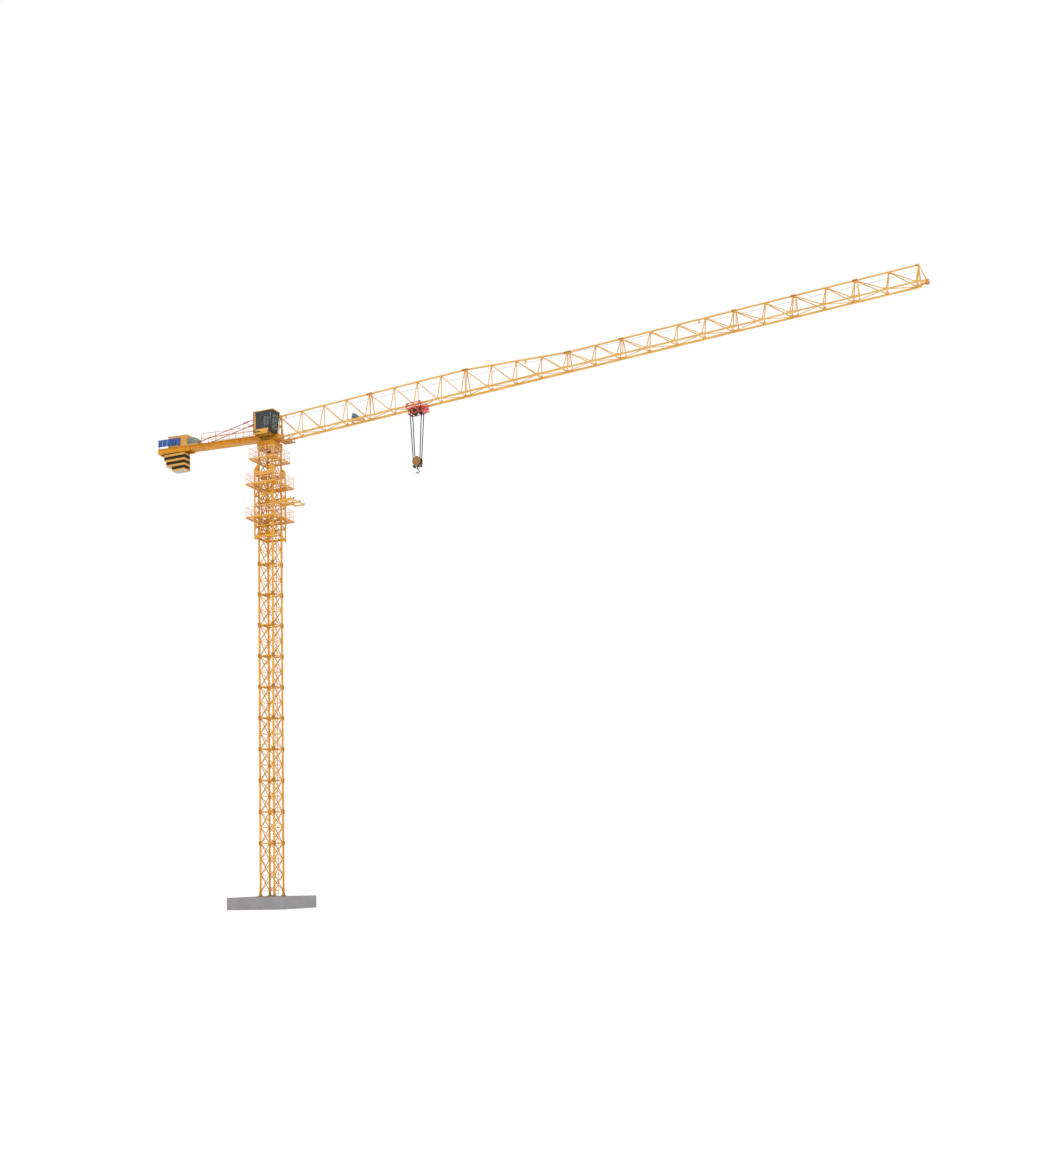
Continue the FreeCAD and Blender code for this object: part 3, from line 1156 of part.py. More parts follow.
def build_hook_block():
    """Two sheaves between cheek plates, with the crosshead that the hook hangs in."""
    x, z = TROLLEY_X, BLOCK_SHEAVE_Z
    reach = BLOCK_HALF_LENGTH
    outer_y = BLOCK_SHEAVE_OFFSET + SHEAVE_WIDTH / 2 + BLOCK_CHEEK_GAP
    low = z - BLOCK_DROP
    pieces = []
    for s in (1, -1):
        y = s * outer_y
        outline = [(x - reach * 0.35, y, low), (x + reach * 0.35, y, low), (x + reach, y, z - 150),
                   (x + reach, y, z + 20), (x + reach * 0.3, y, z + BLOCK_RISE), (x - reach * 0.3, y, z + BLOCK_RISE),
                   (x - reach, y, z + 20), (x - reach, y, z - 150)]
        pieces.append(prism(outline, (0, s * BLOCK_CHEEK, 0)))
    pieces.append(rod((x, -outer_y, z), (x, outer_y, z), SHAFT_RADIUS * 1.4))
    for s in (1, -1):
        y = s * BLOCK_SHEAVE_OFFSET
        pieces.append(rod((x, y - SHEAVE_WIDTH / 2, z), (x, y + SHEAVE_WIDTH / 2, z), BLOCK_SHEAVE_RADIUS))
    half = CROSSHEAD_SIZE / 2
    head = box(x - half, x + half, -outer_y, outer_y, low, low + CROSSHEAD_SIZE)
    pieces.append(head)
    block = fuse(pieces)
    bore = Part.makeCylinder(HOOK_SHANK + HOOK_GAP, CROSSHEAD_SIZE + 2, V(x, 0, low - 1))
    save("hook_block", block.cut(bore))


def build_hook():
    x = TROLLEY_X
    low = BLOCK_SHEAVE_Z - BLOCK_DROP
    nut_base = low + CROSSHEAD_SIZE + HOOK_GAP
    nut = Part.makeCylinder(HOOK_SHANK * 1.5, 30, V(x, 0, nut_base))
    shank = Part.makeCylinder(HOOK_SHANK, CROSSHEAD_SIZE + HOOK_GAP + 60, V(x, 0, low - 60))
    eye_z = low - HOOK_DROP + HOOK_BOWL + HOOK_THICKNESS
    mean = HOOK_BOWL + HOOK_THICKNESS / 2
    neck = rod((x, 0, low - 50), (x + mean * 0.2, 0, eye_z + mean * 0.9), HOOK_SHANK * 0.95)
    # the bowl: a round bar bent through 250 degrees, open towards -X
    start_angle, sweep = 80.0, -250.0
    centre = V(x, 0, eye_z)

    def on_bowl(angle):
        a = math.radians(angle)
        return centre + V(mean * math.cos(a), 0, mean * math.sin(a))

    path = Part.Arc(on_bowl(start_angle), on_bowl(start_angle + sweep / 2), on_bowl(start_angle + sweep)).toShape()
    section = Part.Wire([Part.makeCircle(HOOK_THICKNESS / 2, on_bowl(start_angle), path.tangentAt(path.FirstParameter))])
    bowl = Part.Wire([path]).makePipeShell([section], True, False)
    save("hook", fuse([nut, shank, neck, bowl]))


build_foundation()
build_legs()
build_mast_sides()
build_ladder_and_landings()
build_cage()
build_walkways()
build_feeding_beam()
build_ram()
build_support()
build_turntable()
build_head()
JIB_TOP, JIB_LOWER = build_chords()
build_jib_floor(JIB_LOWER, build_jib_sides(JIB_TOP, JIB_LOWER))
build_tip_head()
build_trolley_winch()
build_cab()
build_counter_jib()
build_ties()
build_machinery()
build_running_rope()
build_counterweights()
build_service_platform()
build_trolley()
build_rope_falls()
build_hook_block()
build_hook()
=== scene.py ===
import json
import math
import bmesh
import bpy
from mathutils import Matrix, Vector


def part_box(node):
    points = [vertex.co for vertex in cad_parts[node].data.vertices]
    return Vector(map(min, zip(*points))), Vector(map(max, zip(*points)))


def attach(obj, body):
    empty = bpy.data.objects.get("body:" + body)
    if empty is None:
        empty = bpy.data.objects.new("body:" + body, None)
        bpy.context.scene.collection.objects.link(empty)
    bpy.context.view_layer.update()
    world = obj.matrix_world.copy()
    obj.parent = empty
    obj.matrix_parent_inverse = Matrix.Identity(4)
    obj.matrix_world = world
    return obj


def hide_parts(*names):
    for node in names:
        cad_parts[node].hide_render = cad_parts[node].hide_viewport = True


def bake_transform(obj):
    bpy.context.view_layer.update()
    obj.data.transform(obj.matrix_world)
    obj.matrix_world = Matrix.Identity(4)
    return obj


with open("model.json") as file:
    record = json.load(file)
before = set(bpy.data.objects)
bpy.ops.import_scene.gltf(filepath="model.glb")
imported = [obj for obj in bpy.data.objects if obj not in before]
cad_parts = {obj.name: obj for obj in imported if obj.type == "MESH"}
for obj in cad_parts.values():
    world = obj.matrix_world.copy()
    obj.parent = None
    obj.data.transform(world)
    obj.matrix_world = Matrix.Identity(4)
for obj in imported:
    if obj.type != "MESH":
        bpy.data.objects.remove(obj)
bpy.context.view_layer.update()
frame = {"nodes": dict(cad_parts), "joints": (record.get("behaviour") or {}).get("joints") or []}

# ---------------------------------------------------------------- foundation slab
# A square block of reinforced concrete, cast in board shutters on the site and left as struck:
# flat grey, slightly blotched where the mix dried unevenly, with faint lines where the boards met.
SLAB_GREY = "#888587"
SLAB_PALE = "#908D8F"
SLAB_DAMP = "#7B797B"
BOARD_MM = 115.0
BLOTCH_MM = 480.0
SAND_MM = 9.0


def srgb(hex_colour):
    """Linear colour from an sRGB hex value."""
    channels = [int(hex_colour[i:i + 2], 16) / 255 for i in (1, 3, 5)]
    return (*[c / 12.92 if c <= 0.04045 else ((c + 0.055) / 1.055) ** 2.4 for c in channels], 1.0)


def per_metre(millimetres):
    """Texture scale for a feature of this size."""
    return 1000.0 / millimetres


def feed(tree, node, inputs):
    """Sets a node's inputs, from values or from (node, output) links."""
    for name, value in inputs.items():
        if isinstance(value, tuple) and isinstance(value[0], bpy.types.Node):
            tree.links.new(value[0].outputs[value[1]], node.inputs[name])
        else:
            node.inputs[name].default_value = value


def add_node(tree, kind, inputs, **settings):
    """Adds a shader node with its settings and inputs."""
    made = tree.nodes.new("ShaderNode" + kind)
    for name, value in settings.items():
        setattr(made, name, value)
    feed(tree, made, inputs)
    return made


def new_finish(name, metallic=0.0, roughness=0.5):
    """An empty material with its shader and its object coordinates."""
    material = bpy.data.materials.new(name)
    material.use_nodes = True
    tree = material.node_tree
    shader = tree.nodes["Principled BSDF"]
    feed(tree, shader, {"Metallic": metallic, "Roughness": roughness})
    return material, tree, shader, (add_node(tree, "TexCoord", {}), "Object")


def coat(material, *nodes):
    """Gives CAD nodes their finish."""
    for name in nodes:
        mesh = frame["nodes"][name].data
        mesh.materials.clear()
        mesh.materials.append(material)


concrete, tree, shader, place = new_finish("cast_concrete", roughness=0.88)
blotch = add_node(tree, "TexNoise", {"Vector": place, "Scale": per_metre(BLOTCH_MM), "Detail": 5.0})
sand = add_node(tree, "TexNoise", {"Vector": place, "Scale": per_metre(SAND_MM), "Detail": 2.0})
axes = add_node(tree, "SeparateXYZ", {0: place})
board = add_node(tree, "Math", {0: (axes, "Z"), 1: BOARD_MM / 2000}, operation="PINGPONG")
board_line = add_node(tree, "MapRange", {"Value": (board, 0), "From Max": 0.003})
spread = add_node(tree, "MapRange", {"Value": (blotch, "Fac"), "From Min": 0.36, "From Max": 0.64})
tone = add_node(tree, "Mix", {0: (spread, 0), 6: srgb(SLAB_GREY), 7: srgb(SLAB_PALE)}, data_type="RGBA")
damp = add_node(tree, "Mix", {0: (board_line, 0), 6: srgb(SLAB_DAMP), 7: (tone, 2)}, data_type="RGBA")
relief = add_node(tree, "Math", {0: (sand, "Fac"), 1: 0.25, 2: (board_line, 0)}, operation="MULTIPLY_ADD")
bump = add_node(tree, "Bump", {"Strength": 0.5, "Distance": 0.003, "Height": (relief, 0)})
feed(tree, shader, {"Base Color": (damp, 2), "Normal": (bump, 0)})
coat(concrete, "foundation")
slab_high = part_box("foundation")[1]

# ---------------------------------------------------------------- anchor feet
# Four steel shoes welded up from plate, set on the slab and held down by cast-in bolts;
# brush-painted in a yellow-olive primer that stays matt.
FOOT_FRESH = "#A8791F"
FOOT_FADED = "#97722C"
FOOT_DUST = "#6F5A30"
BOLT_ZINC = "#A9A8A2"
FOOT_BOLT_SPREAD = 0.080
FOOT_BOLT_RADIUS = 0.008
FOOT_BOLT_LENGTH = 0.060
NUT_RADIUS = 0.015
NUT_HEIGHT = 0.014


def painted_steel(name, fresh, faded, dust, roughness, fade_mm=700.0, dust_mm=60.0, shine=0.5):
    """Shop-sprayed paint on steel: slow fading, scattered dust marks and a faint orange peel."""
    material, tree, shader, place = new_finish(name, roughness=roughness)
    feed(tree, shader, {"Specular IOR Level": shine})
    fade = add_node(tree, "TexNoise", {"Vector": place, "Scale": per_metre(fade_mm), "Detail": 3.0})
    marks = add_node(tree, "TexNoise", {"Vector": place, "Scale": per_metre(dust_mm), "Detail": 6.0,
        "Roughness": 0.65})
    peel = add_node(tree, "TexNoise", {"Vector": place, "Scale": per_metre(6.0)})
    fade_share = add_node(tree, "MapRange", {"Value": (fade, "Fac"), "From Min": 0.35, "From Max": 0.65})
    dust_share = add_node(tree, "MapRange", {"Value": (marks, "Fac"), "From Min": 0.58, "From Max": 0.78,
        "To Max": 0.45})
    base = add_node(tree, "Mix", {0: (fade_share, 0), 6: srgb(fresh), 7: srgb(faded)}, data_type="RGBA")
    dusted = add_node(tree, "Mix", {0: (dust_share, 0), 6: (base, 2), 7: srgb(dust)}, data_type="RGBA")
    gloss = add_node(tree, "MapRange", {"Value": (marks, "Fac"), "From Min": 0.3, "From Max": 0.8,
        "To Min": roughness - 0.08, "To Max": roughness + 0.18})
    bump = add_node(tree, "Bump", {"Strength": 0.15, "Distance": 0.0006, "Height": (peel, "Fac")})
    feed(tree, shader, {"Base Color": (dusted, 2), "Roughness": (gloss, 0), "Normal": (bump, 0)})
    return material


def bare_metal(name, colour, dark, roughness, grain_mm=12.0):
    """Uncoated or plated metal with a soft mottle."""
    material, tree, shader, place = new_finish(name, metallic=0.85, roughness=roughness)
    mottle = add_node(tree, "TexNoise", {"Vector": place, "Scale": per_metre(grain_mm), "Detail": 4.0})
    tone = add_node(tree, "Mix", {0: (mottle, "Fac"), 6: srgb(dark), 7: srgb(colour)}, data_type="RGBA")
    rub = add_node(tree, "MapRange", {"Value": (mottle, "Fac"), "To Min": roughness - 0.1,
        "To Max": roughness + 0.15})
    feed(tree, shader, {"Base Color": (tone, 2), "Roughness": (rub, 0)})
    return material


def block(bm, low, high, base=None):
    """A rectangular bar or plate between any two opposite corners, in the frame given."""
    low, high = Vector(low), Vector(high)
    size = high - low
    place = Matrix.Translation((low + high) / 2) @ Matrix.Diagonal((*[abs(v) for v in size], 1))
    return bmesh.ops.create_cube(bm, size=1.0, matrix=(base or Matrix()) @ place)["verts"]


def round_bar(bm, start, end, radius, sides=10, base=None, tip=None):
    """A round, hexagonal or square bar between two points."""
    start, end = Vector(start), Vector(end)
    run = end - start
    place = Matrix.Translation((start + end) / 2) @ run.to_track_quat("Z", "Y").to_matrix().to_4x4()
    return bmesh.ops.create_cone(bm, cap_ends=True, segments=sides, radius1=radius, depth=run.length,
        radius2=radius if tip is None else tip, matrix=(base or Matrix()) @ place)["verts"]


def bolt(bm, point, direction, length, radius=0.009, nut=0.017, base=None):
    """A threaded bar with a hexagon nut near each end."""
    point, direction = Vector(point), Vector(direction).normalized()
    round_bar(bm, point - direction * length / 2, point + direction * length / 2, radius, 8, base)
    for side in (-1, 1):
        seat = point + direction * side * (length / 2 - 1.4 * nut)
        round_bar(bm, seat, seat + direction * side * nut * 0.9, nut, 6, base)


def fit(bm, name, material, body, bevel=0.0, smooth=False):
    """Finishes a piece: outward faces, its material, and the body that carries it."""
    bmesh.ops.recalc_face_normals(bm, faces=bm.faces)
    mesh = bpy.data.meshes.new(name)
    bm.to_mesh(mesh)
    bm.free()
    mesh.materials.append(material)
    piece = bpy.data.objects.new(name, mesh)
    bpy.context.scene.collection.objects.link(piece)
    if smooth:
        mesh.shade_smooth()
        mesh.set_sharp_from_angle(angle=math.radians(35))
    if bevel:
        edge = piece.modifiers.new("broken_edges", "BEVEL")
        edge.width = bevel
        edge.segments = 2
        edge.limit_method = "ANGLE"
    if body:
        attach(piece, body)
    return piece


foot_primer = painted_steel("olive_primer", FOOT_FRESH, FOOT_FADED, FOOT_DUST, 0.6, 200.0, 30.0)
zinc = bare_metal("zinc_plated_bolts", BOLT_ZINC, "#77756E", 0.42)
coat(foot_primer, "anchor_feet")
lattice_low, lattice_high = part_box("mast_lattice_left")
LEG_CENTRE = (lattice_low.y + lattice_high.y) / 2
foot_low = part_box("anchor_feet")[0]
FOOT_PLATE_TOP = foot_low.z + 0.014
CORNERS = ((1, 1), (1, -1), (-1, 1), (-1, -1))
QUARTERS = [Matrix.Rotation(math.radians(90 * k), 4, "Z") for k in range(4)]
bm = bmesh.new()
for sx, sy in CORNERS:
    for dx, dy in CORNERS:
        x = sx * LEG_CENTRE + dx * FOOT_BOLT_SPREAD
        y = sy * LEG_CENTRE + dy * FOOT_BOLT_SPREAD
        round_bar(bm, (x, y, FOOT_PLATE_TOP), (x, y, FOOT_PLATE_TOP + FOOT_BOLT_LENGTH), FOOT_BOLT_RADIUS, 10)
        for seat in (FOOT_PLATE_TOP + 0.002, FOOT_PLATE_TOP + 0.018):
            round_bar(bm, (x, y, seat), (x, y, seat + NUT_HEIGHT), NUT_RADIUS, 6)
fit(bm, "foot_bolts", zinc, "base", bevel=0.0015)
SKIRT_HEIGHT = 0.170
bm = bmesh.new()
for sx, sy in CORNERS:
    x, y = sx * LEG_CENTRE, sy * LEG_CENTRE
    round_bar(bm, (x, y, FOOT_PLATE_TOP), (x, y, FOOT_PLATE_TOP + SKIRT_HEIGHT), 0.122, 4, tip=0.052)
fit(bm, "foot_skirts", foot_primer, "base")

# ---------------------------------------------------------------- mast sections
# Square-tube legs with welded X bracing, made in short sections and bolted leg to leg;
# sprayed orange-yellow over blast-cleaned steel, a semi-gloss that dulls with site dust.
MAST_FRESH = "#D49218"
MAST_FADED = "#DCA034"
MAST_DUST = "#96682A"
SLEEVE_SHADE_BROWN = "#A86C1C"
FIRST_TIE_Z = slab_high.z + 0.275
PANEL = 0.750
PANELS = 28
JOINTS = 13
COLLAR_OUT = 0.016
COLLAR_BOLT = 0.190

mast_paint = painted_steel("orange_mast_paint", MAST_FRESH, MAST_FADED, MAST_DUST, 0.42, shine=0.3)
coat(mast_paint, "mast_legs", "mast_lattice_front", "mast_lattice_rear", "mast_lattice_left",
    "mast_lattice_right", "mast_ladder")
landing_low, landing_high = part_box("rest_landings")
LEG_OUTER = LEG_CENTRE + 0.035
LEG_INNER = LEG_CENTRE - 0.035
mast_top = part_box("mast_legs")[1].z
cage_low, cage_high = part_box("cage_side_left")
joint_heights = [landing_low.z + 0.006 + k * (landing_high.z - landing_low.z - 0.012) / (JOINTS - 1)
    for k in range(JOINTS)]
bm = bmesh.new()
for z in joint_heights:
    if cage_low.z - 0.15 < z < cage_high.z + 0.4:
        continue
    for sx, sy in CORNERS:
        for offset in (-0.020, 0.024):
            out = LEG_OUTER + COLLAR_OUT + 0.006
            bolt(bm, (sx * out, sy * (LEG_CENTRE + offset), z), (0, 0, 1), COLLAR_BOLT)
            bolt(bm, (sx * (LEG_CENTRE + offset), sy * out, z), (0, 0, 1), COLLAR_BOLT)
        face = LEG_OUTER + COLLAR_OUT
        block(bm, (sx * (face - 0.001), sy * (LEG_INNER - 0.012), z - 0.073),
            (sx * (face + 0.002), sy * (face + 0.002), z + 0.073))
        block(bm, (sx * (LEG_INNER - 0.012), sy * (face - 0.001), z - 0.073),
            (sx * (face + 0.002), sy * (face + 0.002), z + 0.073))
# the collars at each section joint are a darker brown than the mast: painted shade where the legs and sleeves
# meet
joint_shade_paint = painted_steel("joint_painted_shade_brown", SLEEVE_SHADE_BROWN, "#B4782A", "#6E4A1E", 0.5, 200.0, 20.0)
fit(bm, "section_sleeves", joint_shade_paint, "base")

bm = bmesh.new()
sides = [turn @ Matrix.Translation((0, -LEG_CENTRE, 0)) for turn in QUARTERS]
for side in sides:
    for k in range(PANELS):
        middle = FIRST_TIE_Z + (k + 0.5) * PANEL
        round_bar(bm, (0, -0.019, middle), (0, 0.019, middle), 0.030, 8, side)
    for k in range(PANELS + 1):
        z = FIRST_TIE_Z + k * PANEL
        for s in (1, -1):
            block(bm, (s * (LEG_INNER - 0.040), -0.016, z - 0.045), (s * LEG_INNER, 0.016, z + 0.045), side)
fit(bm, "brace_gussets", mast_paint, "base")

# ladder fixings: a clip and bolt where each section's ladder hangs from the bracing
ladder_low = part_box("mast_ladder")[0]
bm = bmesh.new()
for z in joint_heights:
    for s in (1, -1):
        x = s * 0.120
        block(bm, (x - 0.016, ladder_low.y - 0.006, z - 0.030), (x + 0.016, ladder_low.y + 0.002, z + 0.030))
        bolt(bm, (x, ladder_low.y, z), (0, 1, 0), 0.030, 0.005, 0.009)
fit(bm, "ladder_clips", zinc, "base")

# ---------------------------------------------------------------- gratings
# Pressed bar grating in angle frames, dipped in the same orange as the steelwork and then worn pale by boots;
# its openings are painted a dark orange as painted shade seen through them, and drawn coarser than the real 30
# mm so that they show.
GRATE_PAINT = "#D09228"
GRATE_WORN = "#C09848"
GRATE_HOLE_SHADE = "#8C5E1C"
GRATE_PITCH_MM = 46.0


def grating(name, paint, worn, hole_shade):
    material, tree, shader, place = new_finish(name, roughness=0.55)
    axes = add_node(tree, "SeparateXYZ", {0: place})
    bars = []
    for axis, pitch in (("X", GRATE_PITCH_MM), ("Y", GRATE_PITCH_MM)):
        wave = add_node(tree, "Math", {0: (axes, axis), 1: pitch / 2000}, operation="PINGPONG")
        bars.append(add_node(tree, "MapRange", {"Value": (wave, 0), "From Min": pitch / 8000,
            "From Max": pitch / 5500}))
    holes = add_node(tree, "Math", {0: (bars[0], 0), 1: (bars[1], 0)}, operation="MULTIPLY")
    scuff = add_node(tree, "TexNoise", {"Vector": place, "Scale": per_metre(240.0), "Detail": 5.0})
    scuff_share = add_node(tree, "MapRange", {"Value": (scuff, "Fac"), "From Min": 0.45, "From Max": 0.7})
    tone = add_node(tree, "Mix", {0: (scuff_share, 0), 6: srgb(paint), 7: srgb(worn)}, data_type="RGBA")
    # the openings are filled with a dark orange: painted shade seen through the grating
    holes_painted_shade = add_node(tree, "Mix", {0: (holes, 0), 6: (tone, 2), 7: srgb(hole_shade)}, data_type="RGBA")
    bump = add_node(tree, "Bump", {"Strength": 0.6, "Distance": 0.006, "Height": (holes, 0)}, invert=True)
    feed(tree, shader, {"Base Color": (holes_painted_shade, 2), "Normal": (bump, 0)})
    return material


deck_grating = grating("painted_bar_grating", GRATE_PAINT, GRATE_WORN, GRATE_HOLE_SHADE)
coat(deck_grating, "rest_landings", "service_platform", "cab_deck", "counter_jib_deck")

# ---------------------------------------------------------------- climbing cage
# A sleeve of braced posts round the top mast sections that jacks the crane up a section at a time;
# welded, in mast colour, with gussets at its knees and bolted splices in its posts.
CAGE_GUSSET = 0.085
CAGE_LEVELS = 6
coat(mast_paint, "cage_side_left", "cage_side_right", "cage_side_rear", "cage_head")
CAGE_FACE = cage_high.y - 0.025
first_level = cage_low.z + 0.135
level_step = (cage_high.z - cage_low.z - 0.110 - 0.080) / CAGE_LEVELS
bm = bmesh.new()
cage_sides = [Matrix.Translation((0, CAGE_FACE, 0)), Matrix.Translation((0, -CAGE_FACE, 0)),
    Matrix.Translation((-CAGE_FACE, 0, 0)) @ QUARTERS[1]]
for side in cage_sides:
    for k in range(CAGE_LEVELS + 1):
        z = first_level + k * level_step
        for x in (-0.46, 0.46):
            block(bm, (x - 0.04, -0.020, z - 0.070), (x + 0.04, 0.020, z + 0.070), side)
        if k:
            block(bm, (-CAGE_GUSSET, -0.020, z - 0.075), (CAGE_GUSSET, 0.020, z + 0.012), side)
fit(bm, "cage_gussets", mast_paint, "base", bevel=0.003)

bm = bmesh.new()
for sx, sy in CORNERS:
    for share in (0.30, 0.68):
        z = cage_low.z + share * (cage_high.z - cage_low.z)
        x, y = sx * (cage_high.x - 0.025), sy * (cage_high.y - 0.025)
        block(bm, (x - 0.031, y - 0.031, z - 0.060), (x + 0.031, y + 0.031, z + 0.060))
        for dz in (-0.035, 0.035):
            bolt(bm, (x, y, z + dz), (1, 0, 0), 0.085, 0.007, 0.013)
            bolt(bm, (x, y, z + dz), (0, 1, 0), 0.085, 0.007, 0.013)
fit(bm, "cage_splices", mast_paint, "base", bevel=0.002)

# ---------------------------------------------------------------- walkway guard rails
# Bent-tube posts and rails round each walkway, infilled with pale welded wire mesh so that
# nothing falls; the real mesh is finer, and is drawn here at a pitch that still shows.
MESH_WIRE = "#ECCFBA"
MESH_SHADE = "#D8B49A"
WIRE_RADIUS = 0.0022
WIRE_PITCH = 0.070
WIRE_ROW = 0.130
RAIL_HEIGHT = 0.540
RAIL_INSET = 0.020
# of each walkway: half its outer side, the level it is walked on, and its inner edge
walkways = ((0.840, mast_top - 3.470, 0.550), (0.840, mast_top - 1.815, 0.550),
    (0.710, mast_top - 0.540, 0.420))


def mesh_panel(bm, start, end, rise, pitch=WIRE_PITCH, row=WIRE_ROW, radius=WIRE_RADIUS, base=None):
    """Welded mesh that stands up from the line between two points."""
    start, end, rise = Vector(start), Vector(end), Vector(rise)
    run = end - start
    for k in range(1, int(run.length / pitch)):
        foot = start + run * (k * pitch / run.length)
        round_bar(bm, foot, foot + rise, radius, 3, base)
    for k in range(1, int(rise.length / row) + 1):
        lift = rise * (k * row / rise.length)
        round_bar(bm, start + lift, end + lift, radius, 3, base)


mesh_paint = painted_steel("pale_mesh_paint", MESH_WIRE, MESH_WIRE, MESH_SHADE, 0.5, 300.0, 40.0)
guard_paint = painted_steel("pale_guard_paint", "#E4B68A", "#EAC29C", "#C29668", 0.5, 300.0, 40.0, shine=0.3)
coat(guard_paint, "walkway_rails")
bm = bmesh.new()
for h, level, inner in walkways:
    h -= RAIL_INSET
    corners = [(-h, -h, level), (h, -h, level), (h, h, level), (-h, h, level)]
    for a, b in zip(corners, corners[1:] + corners[:1]):
        mesh_panel(bm, a, b, (0, 0, RAIL_HEIGHT - 0.016))
fit(bm, "walkway_mesh", mesh_paint, "base")

# the walkways' floors: expanded mesh laid in welded angle frames, open enough to see sky through
FLOOR_PITCH = 0.048
TOE_BOARD = 0.035
bm = bmesh.new()
for h, level, inner in walkways:
    for turn in QUARTERS:
        block(bm, (-h, -h, level - 0.025), (h, -h + 0.008, level + TOE_BOARD), turn)
        block(bm, (-inner - 0.008, -inner - 0.008, level - 0.025), (inner + 0.008, -inner, level), turn)
        for x in (-0.62 * h, 0.0, 0.62 * h):
            block(bm, (x - 0.006, -h, level - 0.025), (x + 0.006, -inner, level - 0.004), turn)
        steps = int((h - inner) / FLOOR_PITCH)
        for k in range(1, steps):
            y = -h + k * (h - inner) / steps
            block(bm, (-h + 0.008, y - 0.002, level - 0.005), (inner, y + 0.002, level - 0.001), turn)
        steps = int((h + inner) / FLOOR_PITCH)
        for k in range(1, steps):
            x = -h + k * (h + inner) / steps
            block(bm, (x - 0.002, -h + 0.008, level - 0.005), (x + 0.002, -inner, level - 0.001), turn)
floors = fit(bm, "walkway_floors", mast_paint, "base")
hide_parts("walkway_decks")

# brackets that carry the walkways from the cage and mast
bm = bmesh.new()
for h, level, inner in walkways:
    under = level - 0.025
    for turn in QUARTERS:
        for y in (-0.36, 0.36):
            block(bm, (inner, y - 0.010, under - 0.026), (h, y + 0.010, under), turn)
            round_bar(bm, (inner + 0.005, y, under - 0.150), (h - 0.110, y, under - 0.020), 0.009, 6, turn)
fit(bm, "walkway_brackets", mast_paint, "base")

# ---------------------------------------------------------------- feeding beam
# Two channels that reach out on the jib side to hang a new mast section from, with a carrier on
# their outer end; welded and bolted to the cage, with greased steel running wheels on the carrier.
jib_paint = painted_steel("orange_jib_paint", "#D59E34", "#DEAC50", "#A47A3C", 0.42)
# the girders, turntable and slewing support take a darker, deeper copy of the jib's orange: painted shade for
# the parts seen from below under the upperworks
girder_paint_shaded_copy = painted_steel("girder_orange_painted_shade", "#C6800E", "#D08E1E", "#8E6018", 0.45, shine=0.2)
cast_steel = painted_steel("greased_cast_steel", "#39393A", "#424243", "#2A2826", 0.45, 60.0, 10.0)
coat(jib_paint, "feeding_beam")
beam_low, beam_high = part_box("feeding_beam")
BEAM_Y = 0.280
BEAM_ROOT = 0.552
WHEEL_LIFT = 0.018
bm = bmesh.new()
axle_z = beam_high.z + WHEEL_LIFT
for y in (-BEAM_Y, BEAM_Y):
    for x in (beam_high.x - 0.055, beam_high.x - 0.475):
        round_bar(bm, (x, y - 0.035, axle_z), (x, y + 0.035, axle_z), 0.034, 18)
        round_bar(bm, (x, y - 0.042, axle_z), (x, y + 0.042, axle_z), 0.012, 10)
fit(bm, "carrier_wheels", cast_steel, "base", bevel=0.002, smooth=True)
bm = bmesh.new()
for y in (beam_low.y + 0.028, beam_high.y - 0.028):
    for x in (beam_high.x - 0.50, beam_high.x - 0.02):
        block(bm, (x - 0.030, y - 0.034, beam_low.z - 0.006), (x + 0.030, y + 0.034, beam_low.z + 0.062))
for y in (-BEAM_Y, BEAM_Y):
    for x in (0.60, 0.85, 1.10):
        block(bm, (x - 0.006, y - 0.034, beam_high.z - 0.056), (x + 0.006, y + 0.034, beam_high.z))
for s in (-1, 1):
    block(bm, (BEAM_ROOT, s * 0.330, beam_high.z - 0.130), (0.700, s * 0.215, beam_high.z - 0.010))
for y in (-0.100, 0.100):
    round_bar(bm, (BEAM_ROOT + 0.003, y, beam_high.z - 0.030), (beam_high.x - 0.030, y, beam_high.z - 0.030),
        0.014, 8)
for y in (-BEAM_Y, BEAM_Y):
    block(bm, (BEAM_ROOT, y - 0.024, beam_high.z - 0.120), (1.200, y + 0.024, beam_high.z - 0.050))
fit(bm, "feeding_beam_plates", jib_paint, "base", bevel=0.002)
bm = bmesh.new()
for y in (beam_low.y + 0.030, beam_high.y - 0.030):
    block(bm, (beam_high.x - 0.055, y - 0.028, beam_low.z + 0.056),
        (beam_high.x - 0.005, y + 0.028, beam_low.z + 0.110))
fit(bm, "carrier_locks", foot_primer, "base", bevel=0.004)

# ---------------------------------------------------------------- climbing ram
# One hydraulic cylinder between the cage and a crosshead that steps up the mast, with its pump
# set beside it; ochre machine enamel and a chromed rod.
RAM_ENAMEL = "#A86A1C"
ram_enamel = painted_steel("ochre_machine_enamel", RAM_ENAMEL, "#B4782E", "#6A4A22", 0.4, 200.0, 30.0)
chrome = bare_metal("chromed_rod", "#C9CCCF", "#9EA2A6", 0.2)
coat(ram_enamel, "climbing_ram")
RAM_X, RAM_Y = -0.170, -0.460
PUMP_X, PUMP_Y = RAM_X + 0.16, -0.462
ram_foot = mast_top - 3.850
bm = bmesh.new()
block(bm, (PUMP_X - 0.075, -0.498, ram_foot + 0.075), (PUMP_X + 0.075, -0.425, ram_foot + 0.195))
motor_z = ram_foot + 0.225
round_bar(bm, (PUMP_X - 0.050, PUMP_Y, motor_z), (PUMP_X + 0.080, PUMP_Y, motor_z), 0.032, 20)
for k in range(6):
    x = PUMP_X - 0.040 + k * 0.020
    round_bar(bm, (x, PUMP_Y, motor_z), (x + 0.006, PUMP_Y, motor_z), 0.037, 20)
for z in (ram_foot + 0.275, ram_foot + 0.625):
    round_bar(bm, (RAM_X, RAM_Y, z), (RAM_X, RAM_Y, z + 0.030), 0.037, 20)
fit(bm, "pump_set", ram_enamel, "base", bevel=0.003, smooth=True)
bm = bmesh.new()
round_bar(bm, (RAM_X, RAM_Y, ram_foot + 0.057), (RAM_X, RAM_Y, ram_foot + 0.135), 0.0315, 24)
fit(bm, "ram_rod", chrome, "base", smooth=True)

